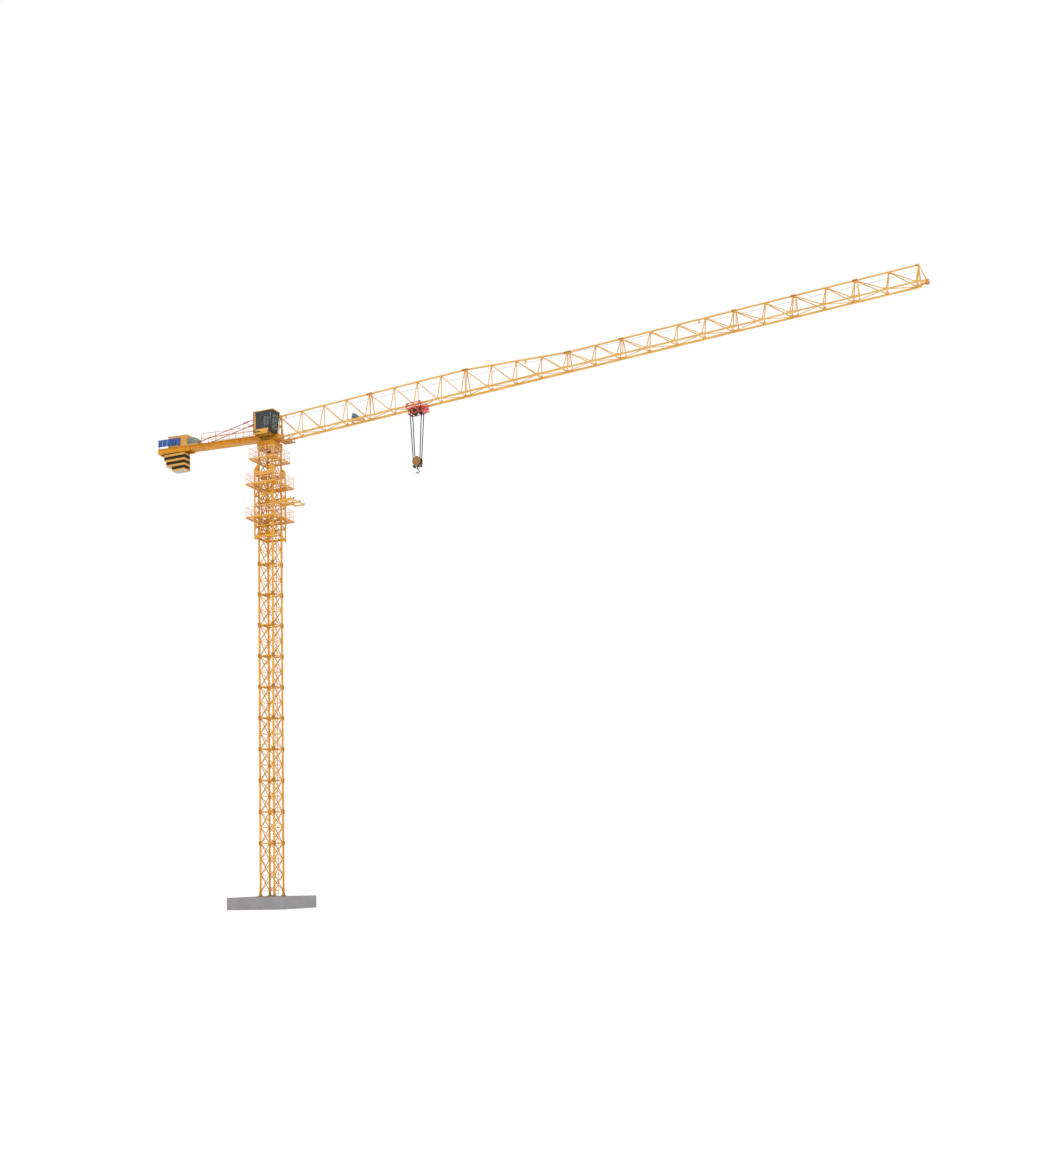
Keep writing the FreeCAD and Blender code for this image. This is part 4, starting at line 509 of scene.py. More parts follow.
# ---------------------------------------------------------------- slewing support and ring
# A thick welded box that spreads the turning top's load to the four legs, with a geared ball race
# bolted on it; orange outside, and the race is dark machined steel under grease.
TEETH = 72
TOOTH_DEPTH = 0.012
RING_BOLTS = 40
BOLT_CIRCLE = 0.475
support_low, support_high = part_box("slewing_support")
ring_low, ring_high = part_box("slewing_ring")
coat(girder_paint_shaded_copy, "slewing_support")
coat(cast_steel, "slewing_ring")
bm = bmesh.new()
for k in range(TEETH):
    turn = Matrix.Rotation(2 * math.pi * k / TEETH, 4, "Z")
    block(bm, (ring_high.x - 0.004, -0.009, ring_low.z + 0.004),
        (ring_high.x + TOOTH_DEPTH, 0.009, ring_high.z - 0.010), turn)
fit(bm, "race_teeth", cast_steel, "base", bevel=0.0015)
bm = bmesh.new()
for k in range(RING_BOLTS):
    angle = 2 * math.pi * k / RING_BOLTS
    x, y = BOLT_CIRCLE * math.cos(angle), BOLT_CIRCLE * math.sin(angle)
    if abs(math.cos(2 * angle)) <= 0.9 and max(abs(x), abs(y)) < support_high.x - 0.02:
        round_bar(bm, (x, y, support_high.z), (x, y, support_high.z + 0.012), 0.013, 6)
fit(bm, "race_bolts", zinc, "base")
bm = bmesh.new()
for turn in QUARTERS:
    for y in (-0.335, 0.335):
        block(bm, (support_high.x, y - 0.007, support_low.z + 0.015),
            (support_high.x + 0.018, y + 0.007, support_high.z - 0.015), turn)
    for z in (support_low.z, support_high.z - 0.014):
        block(bm, (support_high.x - 0.001, support_low.y, z),
            (support_high.x + 0.014, support_high.y, z + 0.014), turn)
    for y in (-0.385, 0.385):
        for dz in (0.05, 0.14):
            bolt(bm, (support_high.x + 0.004, y, support_low.z + dz), (1, 0, 0), 0.03, 0.007, 0.012, turn)
fit(bm, "support_stiffeners", jib_paint, "base")

# ---------------------------------------------------------------- turntable
# The welded steel deck that turns with the jib: a flared box with flange plates for the jib and
# the counter-jib; orange, with pinned lugs.
coat(girder_paint_shaded_copy, "turntable")
table_low, table_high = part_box("turntable")
GIRDER_Y = 0.2125
bm = bmesh.new()
for x in (-0.36, -0.18, 0.0, 0.18, 0.36, 0.54):
    block(bm, (x - 0.006, table_high.y, table_high.z - 0.165),
        (x + 0.006, table_high.y + 0.014, table_high.z - 0.012))
for below, above in ((0.014, 0.0), (0.176, 0.164)):
    block(bm, (table_low.x + 0.004, table_high.y - 0.002, table_high.z - below),
        (table_high.x - 0.05, table_high.y + 0.016, table_high.z - above))
for y in (-GIRDER_Y, GIRDER_Y):
    for dz in (0.045, 0.135):
        bolt(bm, (table_low.x - 0.045, y, table_high.z - dz), (0, 1, 0), 0.110, 0.012, 0.022)
fit(bm, "turntable_ribs", girder_paint_shaded_copy, "upperworks", bevel=0.002)

# ---------------------------------------------------------------- tower head
# A short braced frame on the turntable, pinned to the jib's top chord in front and to the
# counter-jib's tie bars behind; orange box section with turned pins.
coat(jib_paint, "tower_head")
head_low, head_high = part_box("tower_head")
bm = bmesh.new()
for s in (1, -1):
    y = s * 0.225
    bolt(bm, (head_low.x + 0.028, y, head_high.z - 0.030), (0, 1, 0), 0.090, 0.014, 0.024)
    for x in (head_low.x + 0.060, head_high.x - 0.150):
        for z in (head_low.z + 0.030, head_low.z + 0.48):
            bolt(bm, (x, s * (head_high.y - 0.030), z), (0, 1, 0), 0.082, 0.010, 0.018)
fit(bm, "head_pins", zinc, "upperworks")

# ---------------------------------------------------------------- jib
# A triangular lattice boom in pinned lengths: one top chord, two lower chords that the trolley
# runs along, and single diagonals; orange, with sleeves, pins and gussets where tubes meet.
JIB_SECTIONS = (5.0, 5.0, 5.0, 2.5, 5.0, 2.5, 2.5, 2.5)
JIB_PANEL = 1.25
JIB_LONG_PANEL = 1.34
NODE_SETBACK = 0.165
JIB_DEPTH_ROOT = 1.150
JIB_DEPTH_TIP = 0.778
TAPER_FROM, TAPER_TO = 10.0, 15.0
CHORD_HALF = 0.035
CHORD_SPREAD = 0.250
coat(jib_paint, "jib_lower_chords", "jib_top_chord", "jib_side_left", "jib_side_right", "jib_floor_lattice",
    "jib_tip_head")
travel = next(j for j in frame["joints"] if j["name"] == "trolley_travel")
SLOPE = math.atan2(travel["axis"][2], travel["axis"][0])
chord_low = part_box("jib_lower_chords")[0]
jib_root = Vector((chord_low.x + CHORD_HALF * math.sin(SLOPE), 0, chord_low.z + CHORD_HALF * math.cos(SLOPE)))
jib_frame = Matrix.Translation(jib_root) @ Matrix.Rotation(-SLOPE, 4, "Y")
JIB_LENGTH = sum(JIB_SECTIONS)


def jib_depth(station):
    share = min(max((station - TAPER_FROM) / (TAPER_TO - TAPER_FROM), 0), 1)
    return JIB_DEPTH_ROOT + share * (JIB_DEPTH_TIP - JIB_DEPTH_ROOT)


top_nodes, section_ends = [0.0], []
for index, length in enumerate(JIB_SECTIONS):
    start = top_nodes[-1]
    count = round(length / JIB_PANEL)
    first = JIB_PANEL if index == 0 else JIB_LONG_PANEL
    top_nodes += [start + first + k * (length - first) / (count - 1) for k in range(count)]
    section_ends.append(start + length)

bm = bmesh.new()
for station in section_ends[:-1]:
    top = jib_depth(station)
    for ds in (-0.055, 0.055):
        bolt(bm, (station + ds, 0, top), (0, 1, 0), 0.150, 0.013, 0.022, jib_frame)
        for s in (1, -1):
            bolt(bm, (station + ds, s * CHORD_SPREAD, CHORD_HALF + 0.004), (0, 1, 0), 0.060, 0.009, 0.016,
                jib_frame)
            bolt(bm, (station + ds, s * (CHORD_SPREAD - CHORD_HALF - 0.010), 0), (0, 1, 0), 0.040, 0.012, 0.020,
                jib_frame)
# the jib's pins and chord splices take the same darker brown, as painted shade at the joints
fit(bm, "jib_pins", joint_shade_paint, "upperworks")
bm = bmesh.new()
for number, station in enumerate(section_ends[:-1]):
    top = jib_depth(station)
    reach = 0.165 if number < 3 else 0.100
    for s in (1, -1):
        block(bm, (station - reach, s * 0.036, top - 0.040), (station + reach, s * 0.046, top + 0.040),
            jib_frame)
fit(bm, "top_chord_splices", joint_shade_paint, "upperworks", bevel=0.002)

bm = bmesh.new()
for after in top_nodes[1:]:
    foot = after - NODE_SETBACK
    for s in (1, -1):
        lean = math.atan2(CHORD_SPREAD - 0.015, jib_depth(foot))
        leaning = Matrix.Rotation(s * lean, 4, "X")
        base = jib_frame @ Matrix.Translation((foot, s * CHORD_SPREAD, 0)) @ leaning
        block(bm, (-0.085, -0.005, 0.028), (0.075, 0.005, 0.085), base)
        peak = jib_frame @ Matrix.Translation((after, s * 0.015, jib_depth(after))) @ leaning
        if after < JIB_LENGTH - 0.1:
            block(bm, (-0.060, -0.005, -0.085), (0.075, 0.005, -0.024), peak)
        block(bm, (foot - 0.05, s * (CHORD_SPREAD - CHORD_HALF) - s * 0.055, -0.006),
            (foot + 0.05, s * (CHORD_SPREAD - CHORD_HALF), 0.006), jib_frame)
fit(bm, "jib_gussets", jib_paint, "upperworks")

# end stops on each running ledge, where the trolley's travel ends
TROLLEY_INWARD_TRAVEL = 5.5
inner_stop = (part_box("trolley_rollers")[0] - jib_frame.to_translation()).x - TROLLEY_INWARD_TRAVEL - 0.065
bm = bmesh.new()
for s in (1, -1):
    for station in (inner_stop, JIB_LENGTH - 0.10):
        block(bm, (station - 0.030, s * 0.287, -0.023), (station + 0.030, s * 0.333, 0.060), jib_frame)
fit(bm, "trolley_stops", jib_paint, "upperworks", bevel=0.003)

# ---------------------------------------------------------------- jib tip
# Plates that close the boom's end, with a post that anchors the hoist rope and a nose that carries a
# steel drum between two plates; the drum is enamelled a redder orange than the boom.
TIP_NOSE = 0.250
TIP_PLATE = ((-0.145, -0.020), (0.012, -0.060), (0.012, 0.028), (-0.020, 0.028), (-0.145, 0.020))
TIP_DRUM = 0.075
TIP_DRUM_HALF = 0.120
tip_frame = jib_frame @ Matrix.Translation((JIB_LENGTH + TIP_NOSE, 0, 0))
tip_paint = painted_steel("tip_drum_enamel", "#C0682A", "#C87638", "#7C4A24", 0.4, 120.0, 15.0)


def plate(bm, outline, depth):
    """A flat plate: its outline in order, pushed along a vector."""
    face = bm.faces.new([bm.verts.new(p) for p in outline])
    moved = bmesh.ops.extrude_face_region(bm, geom=[face])["geom"]
    bmesh.ops.translate(bm, vec=depth, verts=[g for g in moved if isinstance(g, bmesh.types.BMVert)])


def turned(bm, profile, base, steps=40):
    """A part turned about its own Y axis, from (radius, width) points round its section."""
    verts = [bm.verts.new((radius, width, 0)) for radius, width in profile]
    edges = [bm.edges.new((a, b)) for a, b in zip(verts, verts[1:] + verts[:1])]
    bmesh.ops.spin(bm, geom=verts + edges, cent=(0, 0, 0), axis=(0, 1, 0), angle=2 * math.pi, steps=steps,
        use_merge=True)
    found = set(verts)
    stack = list(verts)
    while stack:
        for edge in stack.pop().link_edges:
            for v in edge.verts:
                if v not in found:
                    found.add(v)
                    stack.append(v)
    bmesh.ops.remove_doubles(bm, verts=list(found), dist=1e-6)
    found = [v for v in found if v.is_valid]
    bmesh.ops.transform(bm, matrix=base, verts=found)
    return found


bm = bmesh.new()
for y in (-TIP_DRUM_HALF, TIP_DRUM_HALF):
    turned(bm, [(0.040, -0.006), (0.040, 0.006), (TIP_DRUM + 0.004, 0.006), (TIP_DRUM + 0.004, -0.006)],
        tip_frame @ Matrix.Translation((0, y, 0)))
turned(bm, [(0.060, -0.110), (0.060, 0.110), (TIP_DRUM + 0.002, 0.110), (TIP_DRUM + 0.002, -0.110)], tip_frame)
for s in (1, -1):
    bolt(bm, (0, s * (TIP_DRUM_HALF + 0.018), 0), (0, 1, 0), 0.030, 0.016, 0.028, tip_frame)
fit(bm, "tip_drum_rims", tip_paint, "upperworks", smooth=True)
bm = bmesh.new()
top = jib_depth(JIB_LENGTH)
for s in (1, -1):
    corners = [jib_frame @ Vector((JIB_LENGTH + dx, s * 0.024, top + dz)) for dx, dz in TIP_PLATE]
    plate(bm, corners, jib_frame.to_3x3() @ Vector((0, s * 0.006, 0)))
    bolt(bm, (JIB_LENGTH - 0.030, s * 0.034, top - 0.004), (0, 1, 0), 0.030, 0.009, 0.015, jib_frame)
fit(bm, "tip_corner_plates", jib_paint, "upperworks")

# ---------------------------------------------------------------- trolley winch
# The small winch that pulls the trolley in and out, under a folded sheet hood on two bearers across
# the lower chords; slate-blue enamel, with a ribbed motor and vent slots.
HOOD_BLUE = "#4C626C"
hood_enamel = painted_steel("slate_blue_enamel", HOOD_BLUE, "#5A717B", "#3A474D", 0.38, 250.0, 25.0)
coat(hood_enamel, "trolley_winch")
WINCH_S = 3.880
WINCH_BED = CHORD_HALF + 0.050
bm = bmesh.new()
for station in (WINCH_S + 0.040, WINCH_S + 0.660):
    block(bm, (station - 0.023, -0.287, CHORD_HALF), (station + 0.023, 0.287, CHORD_HALF + 0.043), jib_frame)
block(bm, (WINCH_S - 0.003, -0.123, CHORD_HALF + 0.018), (WINCH_S + 0.703, 0.123, CHORD_HALF + 0.054),
    jib_frame)
fit(bm, "winch_bearers", jib_paint, "upperworks", bevel=0.003)
bm = bmesh.new()
mid = WINCH_S + 0.350
for s in (1, -1):
    for k in range(5):
        z = WINCH_BED + 0.040 + k * 0.018
        block(bm, (mid - 0.170, s * 0.108, z), (mid + 0.060, s * 0.117, z + 0.009), jib_frame)
    round_bar(bm, (mid + 0.080, s * 0.110, WINCH_BED + 0.065), (mid + 0.080, s * 0.122, WINCH_BED + 0.065),
        0.045, 24, jib_frame)
fit(bm, "winch_hood_vents", hood_enamel, "upperworks", bevel=0.0015)

# ---------------------------------------------------------------- cab
# A folded-sheet cabin on the jib's right: gloss orange skin, a charcoal cladding band round the
# windows, tinted glass in black gaskets, and a guard over the leaning windscreen.
CAB_ORANGE = "#DC962A"
CLADDING = "#26292F"
TRIM = "#24272B"
GLASS_TINT = "#98A6A2"
cab_paint = painted_steel("orange_cab_enamel", CAB_ORANGE, "#E0A03C", "#A87832", 0.28, 500.0, 40.0)
cladding = painted_steel("charcoal_cladding", CLADDING, "#2E3238", "#3C4044", 0.4, 300.0, 20.0)
trim_rubber = painted_steel("black_trim", TRIM, "#2C2F33", "#3B3D3F", 0.6, 120.0, 12.0)
glazing, tree, shader, place = new_finish("tinted_glass", roughness=0.04)
feed(tree, shader, {"Base Color": srgb(GLASS_TINT), "IOR": 1.5, "Transmission Weight": 0.75})
film = add_node(tree, "TexNoise", {"Vector": place, "Scale": per_metre(180.0), "Detail": 6.0})
film_rough = add_node(tree, "MapRange", {"Value": (film, "Fac"), "From Min": 0.4, "From Max": 0.8,
    "To Min": 0.03, "To Max": 0.16})
feed(tree, shader, {"Roughness": (film_rough, 0)})
coat(cab_paint, "cab_shell")
coat(glazing, "cab_glass")
cab_low, cab_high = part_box("cab_shell")
FLOOR = cab_low.z
TOE_X, TOE_Z = 0.665, FLOOR + 0.045
BROW_X, BROW_Z = cab_high.x, cab_high.z - 0.050
SIDE_REAR, SIDE_FRONT, SIDE_SILL, SIDE_HEAD = 0.250, 0.580, FLOOR + 0.280, FLOOR + 0.755
QUARTER_REAR, QUARTER_SILL, QUARTER_HEAD = 0.605, FLOOR + 0.100, FLOOR + 0.950
PILLAR = 0.045
CLADDING_REAR, CLADDING_FOOT, CLADDING_HEAD = -0.185, FLOOR + 0.150, FLOOR + 0.960


def screen_x(z):
    """Outside of the leaning windscreen at a height."""
    return TOE_X + (BROW_X - TOE_X) * (z - TOE_Z) / (BROW_Z - TOE_Z)


left, right = SIDE_REAR - 0.012, SIDE_FRONT + 0.012
bm = bmesh.new()
for y, skin in ((cab_low.y, -0.005), (cab_high.y, 0.005)):
    for x0, z0, x1, z1 in ((CLADDING_REAR, CLADDING_FOOT, left, CLADDING_HEAD),
            (left, CLADDING_FOOT, right, SIDE_SILL - 0.012), (left, SIDE_HEAD + 0.012, right, CLADDING_HEAD)):
        plate(bm, [(x0, y, z0), (x1, y, z0), (x1, y, z1), (x0, y, z1)], (0, skin, 0))
fit(bm, "side_cladding", cladding, "upperworks", bevel=0.001)

bm = bmesh.new()
for y, skin in ((cab_low.y, -0.006), (cab_high.y, 0.006)):
    plate(bm, [(cab_low.x, y, FLOOR), (-0.245, y, FLOOR), (-0.262, y, FLOOR + 0.10),
        (-0.270, y, cab_high.z - 0.030), (cab_low.x, y, cab_high.z - 0.030)], (0, skin, 0))
    plate(bm, [(-0.245, y, FLOOR), (0.16, y, FLOOR), (0.02, y, FLOOR + 0.050), (-0.255, y, FLOOR + 0.070)],
        (0, skin, 0))
    a, b, c, d = SIDE_FRONT + 0.012, QUARTER_REAR - 0.010, SIDE_SILL - 0.012, QUARTER_HEAD + 0.010
    plate(bm, [(a, y, c), (b, y, c), (b, y, d), (a, y, d)], (0, skin, 0))
    plate(bm, [(screen_x(TOE_Z + 0.02) - 0.036, y, TOE_Z + 0.02), (screen_x(TOE_Z + 0.02), y, TOE_Z + 0.02),
        (BROW_X, y, BROW_Z), (BROW_X - 0.036, y, BROW_Z)], (0, skin, 0))
    plate(bm, [(cab_low.x, y, cab_high.z - 0.075), (BROW_X - 0.010, y, cab_high.z - 0.075),
        (BROW_X - 0.006, y, cab_high.z - 0.028), (cab_low.x, y, cab_high.z - 0.028)], (0, skin * 1.2, 0))
block(bm, (cab_low.x - 0.005, cab_low.y - 0.005, FLOOR + 0.02),
    (cab_low.x, cab_low.y + 0.05, cab_high.z - 0.03))
TOE_REAR, TRIM_SILL = 0.530, QUARTER_SILL - 0.008
for y, skin in ((cab_low.y, -0.006), (cab_high.y, 0.006)):
    plate(bm, [(TOE_REAR, y, FLOOR + 0.012), (0.565, y, FLOOR + 0.021), (TOE_X - 0.004, y, TOE_Z),
        (screen_x(QUARTER_SILL) - 0.004, y, TRIM_SILL), (TOE_REAR, y, TRIM_SILL)], (0, skin, 0))
    plate(bm, [(TOE_REAR, y, TRIM_SILL), (QUARTER_REAR - 0.010, y, TRIM_SILL),
        (QUARTER_REAR - 0.010, y, SIDE_SILL - 0.012), (TOE_REAR, y, SIDE_SILL - 0.012)], (0, skin, 0))
screen_low, screen_high = QUARTER_SILL, QUARTER_HEAD - PILLAR
screen_foot = TOE_Z + 0.004
for ya, yb, za, zb in ((cab_low.y - 0.006, cab_low.y + PILLAR, screen_foot, BROW_Z),
        (cab_high.y - PILLAR, cab_high.y + 0.006, screen_foot, BROW_Z),
        (cab_low.y, cab_high.y, screen_foot, screen_low), (cab_low.y, cab_high.y, screen_high, BROW_Z)):
    plate(bm, [(screen_x(za), ya, za), (screen_x(za), yb, za), (screen_x(zb), yb, zb), (screen_x(zb), ya, zb)],
        (0.006, 0, 0))
plate(bm, [(0.500, cab_low.y, FLOOR + 0.003), (0.500, cab_high.y, FLOOR + 0.003), (TOE_X, cab_high.y, TOE_Z),
    (TOE_X, cab_low.y, TOE_Z)], (0, 0, -0.005))
fit(bm, "cab_corner_trim", trim_rubber, "upperworks")

# gaskets: a moulded rubber section pressed round every pane
bm = bmesh.new()
for y in (cab_low.y - 0.004, cab_high.y + 0.004):
    side_loop = [(SIDE_REAR, SIDE_SILL), (SIDE_FRONT, SIDE_SILL), (SIDE_FRONT, SIDE_HEAD),
        (SIDE_REAR, SIDE_HEAD)]
    quarter_loop = [(QUARTER_REAR, QUARTER_SILL), (screen_x(QUARTER_SILL) - PILLAR, QUARTER_SILL),
        (screen_x(QUARTER_HEAD) - PILLAR, QUARTER_HEAD), (QUARTER_REAR, QUARTER_HEAD)]
    for loop in (side_loop, quarter_loop):
        for (xa, za), (xb, zb) in zip(loop, loop[1:] + loop[:1]):
            round_bar(bm, (xa, y, za), (xb, y, zb), 0.010, 8)
    round_bar(bm, (0.415, y, SIDE_SILL), (0.415, y, SIDE_HEAD), 0.008, 8)
y0, y1 = cab_low.y + PILLAR, cab_high.y - PILLAR
screen_loop = [(screen_x(QUARTER_SILL), y0, QUARTER_SILL), (screen_x(QUARTER_SILL), y1, QUARTER_SILL),
    (screen_x(QUARTER_HEAD - PILLAR), y1, QUARTER_HEAD - PILLAR), (screen_x(QUARTER_HEAD - PILLAR), y0,
    QUARTER_HEAD - PILLAR)]
for a, b in zip(screen_loop, screen_loop[1:] + screen_loop[:1]):
    round_bar(bm, a, b, 0.011, 8)
fit(bm, "window_gaskets", trim_rubber, "upperworks", smooth=True)

# the windscreen guard: a welded frame of round bar on four stand-offs
bm = bmesh.new()
GUARD_OFF = 0.028
low_z, top_z = QUARTER_SILL + 0.02, QUARTER_HEAD - 0.06
for y in (y0 + 0.02, (y0 + y1) / 2, y1 - 0.02):
    round_bar(bm, (screen_x(low_z) + GUARD_OFF, y, low_z), (screen_x(top_z) + GUARD_OFF, y, top_z), 0.006, 8)
for share in (0.0, 0.22, 0.44, 0.70, 1.0):
    z = low_z + share * (top_z - low_z)
    x = screen_x(z) + GUARD_OFF
    round_bar(bm, (x, y0 + 0.02, z), (x, y1 - 0.02, z), 0.006, 8)
for y in (y0 + 0.02, y1 - 0.02):
    for z in (low_z, top_z):
        round_bar(bm, (screen_x(z) - 0.005, y, z), (screen_x(z) + GUARD_OFF, y, z), 0.007, 8)
fit(bm, "windscreen_guard", trim_rubber, "upperworks", smooth=True)

# wiper: a pivot under the brow, an arm and a rubber blade
bm = bmesh.new()
pivot_z = top_z + 0.010
pivot = Vector((screen_x(pivot_z) + 0.006, (y0 + y1) / 2 + 0.06, pivot_z))
tip_z = pivot_z - 0.36
tip = Vector((screen_x(tip_z) + 0.009, (y0 + y1) / 2 - 0.04, tip_z))
round_bar(bm, pivot, tip, 0.004, 8)
round_bar(bm, pivot - Vector((0.006, 0, 0)), pivot + Vector((0.008, 0, 0)), 0.013, 14)
blade_z = tip_z - 0.10
round_bar(bm, (screen_x(tip_z + 0.12) + 0.006, tip.y + 0.05, tip_z + 0.12),
    (screen_x(blade_z) + 0.006, tip.y - 0.02, blade_z), 0.005, 6)
fit(bm, "wiper", trim_rubber, "upperworks", smooth=True)

# roof: a pressed tray that overhangs as a drip edge, and a door handle and hinges on the rear flank
bm = bmesh.new()
block(bm, (cab_low.x - 0.014, cab_low.y - 0.016, cab_high.z - 0.028),
    (BROW_X + 0.012, cab_high.y + 0.010, cab_high.z + 0.010))
block(bm, (cab_low.x + 0.06, cab_low.y + 0.06, cab_high.z + 0.009),
    (BROW_X - 0.12, cab_high.y - 0.06, cab_high.z + 0.020))
fit(bm, "cab_roof_tray", cab_paint, "upperworks", bevel=0.005)
bm = bmesh.new()
for y, out in ((cab_high.y, 1), (cab_low.y, -1)):
    for z in (FLOOR + 0.14, FLOOR + 0.88):
        round_bar(bm, (-0.205, y + out * 0.010, z - 0.030), (-0.205, y + out * 0.010, z + 0.030), 0.009, 10)
    round_bar(bm, (0.200, y + out * 0.022, FLOOR + 0.34), (0.200, y + out * 0.022, FLOOR + 0.46), 0.007, 10)
    for z in (FLOOR + 0.35, FLOOR + 0.45):
        round_bar(bm, (0.200, y, z), (0.200, y + out * 0.022, z), 0.005, 8)
fit(bm, "door_handles", zinc, "upperworks", smooth=True)

# ---------------------------------------------------------------- counter-jib
# Two plated girders joined by cross bars, pinned to the turntable, that run out to the
# weights; orange, with web stiffeners, splice bolts and a grating walkway between hand rails.
COUNTER_SLOPE = math.radians(2.0)
deck_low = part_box("counter_jib_deck")[0]
counter_root = Vector((table_low.x, 0, deck_low.z - 0.010 * math.sin(COUNTER_SLOPE)))
counter_frame = Matrix.Translation(counter_root) @ Matrix.Rotation(COUNTER_SLOPE, 4, "Y")
GIRDER_HALF = 0.0375
GIRDER_DEPTH = 0.190
TAIL_FROM = 4.15
coat(girder_paint_shaded_copy, "counter_jib_frame", "counter_jib_rails")
bm = bmesh.new()
x = 0.40
while x < TAIL_FROM - 0.1:
    for s in (1, -1):
        for side in (1, -1):
            y = s * GIRDER_Y + side * 0.010
            block(bm, (-x - 0.005, y, -GIRDER_DEPTH + 0.014),
                (-x + 0.005, s * GIRDER_Y + side * (GIRDER_HALF - 0.004), -0.014), counter_frame)
    x += 0.375
for x in (1.50, 2.90):
    for s in (1, -1):
        y = s * (GIRDER_Y + 0.011)
        block(bm, (-x - 0.120, y, -GIRDER_DEPTH + 0.030), (-x + 0.120, y + s * 0.006, -0.030), counter_frame)
        for dx in (-0.085, -0.030, 0.030, 0.085):
            for dz in (-0.060, -0.130):
                bolt(bm, (-x + dx, y + s * 0.004, dz), (0, 1, 0), 0.026, 0.006, 0.010, counter_frame)
for x in (TAIL_FROM + 0.30, TAIL_FROM + 0.95, TAIL_FROM + 1.60):
    for s in (1, -1):
        y = s * (GIRDER_Y + GIRDER_HALF)
        block(bm, (-x - 0.035, y, -0.235), (-x + 0.035, y + s * 0.006, -0.015), counter_frame)
        for dz in (-0.060, -0.190):
            bolt(bm, (-x, y + s * 0.004, dz), (0, 1, 0), 0.030, 0.008, 0.013, counter_frame)
fit(bm, "girder_stiffeners", girder_paint_shaded_copy, "upperworks")

# a thin closing sheet is tack-welded under the girders to keep nesting birds and snow out
bm = bmesh.new()
block(bm, (-TAIL_FROM, -GIRDER_Y, -GIRDER_DEPTH - 0.001), (-0.02, GIRDER_Y, -GIRDER_DEPTH + 0.003),
    counter_frame)
fit(bm, "girder_closing_sheet", girder_paint_shaded_copy, "upperworks")

bm = bmesh.new()
for s in (1, -1):
    y = s * 0.264
    mesh_panel(bm, (-0.09, y, 0.012), (-3.40, y, 0.012), (0, 0, 0.490), 0.110, 0.125, 0.0020, counter_frame)
fit(bm, "counter_rail_mesh", mesh_paint, "upperworks")

# ---------------------------------------------------------------- tie bars
# Two round bars that hold the counter-jib up from the tower head, screwed together in thick
# sleeves; red paint, with pinned forks at both ends.
TIE_RED = "#B42C38"
TIE_Y = 0.225
red_paint = painted_steel("red_tie_paint", TIE_RED, "#BC4048", "#7E2A2E", 0.4, 400.0, 40.0)
coat(red_paint, "tie_bars")
tie_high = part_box("tie_bars")[1]
bm = bmesh.new()
high = Vector((head_low.x, 0, tie_high.z - 0.017))
low = counter_frame @ Vector((-3.60, 0, 0.102))
along = (low - high).normalized()
for s in (1, -1):
    y = Vector((0, s * TIE_Y, 0))
    for share in (0.668, 0.942):
        at = high + along * share + y
        round_bar(bm, at - along * 0.014, at + along * 0.014, 0.040, 6)
    for offset in (-0.022, 0.022):
        side = Vector((0, offset, 0))
        round_bar(bm, low + y + side - along * 0.10, low + y + side + along * 0.035, 0.012, 8)
    bolt(bm, low + y, (0, 1, 0), 0.085, 0.012, 0.020)
fit(bm, "tie_forks", red_paint, "upperworks")

# ---------------------------------------------------------------- hoist winch
# The main winch under a welded sheet hood that slopes down towards the mast; grey-green machine
# enamel over orange skids, with vent slots, a fan cowl and lifting lugs.
ENAMEL_GREEN = "#6C7568"
winch_enamel = painted_steel("grey_green_enamel", ENAMEL_GREEN, "#788274", "#50574C", 0.42, 350.0, 30.0)
coat(winch_enamel, "hoist_winch")
WX0, WX1 = -3.660, -4.300
DECK = 0.012
bm = bmesh.new()
for s in (1, -1):
    for k in range(7):
        z = DECK + 0.120 + k * 0.026
        block(bm, (WX1 + 0.050, s * 0.249, z), (WX1 + 0.250, s * 0.258, z + 0.013), counter_frame)
    block(bm, (WX1 + 0.275, s * 0.249, DECK + 0.060), (WX1 + 0.283, s * 0.256, DECK + 0.395), counter_frame)
    round_bar(bm, (WX1 + 0.400, s * 0.249, DECK + 0.160), (WX1 + 0.400, s * 0.266, DECK + 0.160), 0.085, 28,
        counter_frame)
    round_bar(bm, (WX1 + 0.400, s * 0.249, DECK + 0.160), (WX1 + 0.400, s * 0.276, DECK + 0.160), 0.028, 16,
        counter_frame)
for x in (WX1 + 0.06, WX1 + 0.26):
    for y in (-0.17, 0.17):
        block(bm, (x - 0.022, y - 0.006, DECK + 0.405), (x + 0.022, y + 0.006, DECK + 0.440), counter_frame)
round_bar(bm, (WX1 + 0.16, 0, DECK + 0.409), (WX1 + 0.16, 0, DECK + 0.432), 0.095, 30, counter_frame)
for k in range(5):
    block(bm, (WX1 + 0.085, -0.070 + k * 0.032, DECK + 0.430), (WX1 + 0.235, -0.058 + k * 0.032, DECK + 0.438),
        counter_frame)
fit(bm, "winch_hood_details", winch_enamel, "upperworks", bevel=0.0015)
bm = bmesh.new()
for s in (1, -1):
    block(bm, (WX1 - 0.010, s * 0.250, DECK), (WX0 + 0.020, s * 0.272, DECK + 0.040), counter_frame)
fit(bm, "winch_skids", jib_paint, "upperworks", bevel=0.003)

# ---------------------------------------------------------------- switch cabinet
# The electrical cabinet behind the winch: a steel enclosure with three doors a side, drip roof,
# hinges and lever handles, in the cab's gloss orange.
cabinet_paint = painted_steel("orange_cabinet_enamel", "#CE9038", "#D69C4C", "#94703A", 0.36, 400.0, 40.0)
coat(cabinet_paint, "switch_cabinet")
CX0, CX1 = -4.325, -5.475
CABINET_TOP = DECK + 0.570
bm = bmesh.new()
door = (CX0 - CX1 - 0.04) / 3
for s in (1, -1):
    for k in range(3):
        x = CX1 + 0.02 + k * door
        block(bm, (x + 0.006, s * 0.225, DECK + 0.045), (x + door - 0.006, s * 0.233, CABINET_TOP - 0.050),
            counter_frame)
        for row in range(4):
            z = CABINET_TOP - 0.110 - row * 0.018
            block(bm, (x + 0.08, s * 0.233, z), (x + door - 0.08, s * 0.238, z + 0.008), counter_frame)
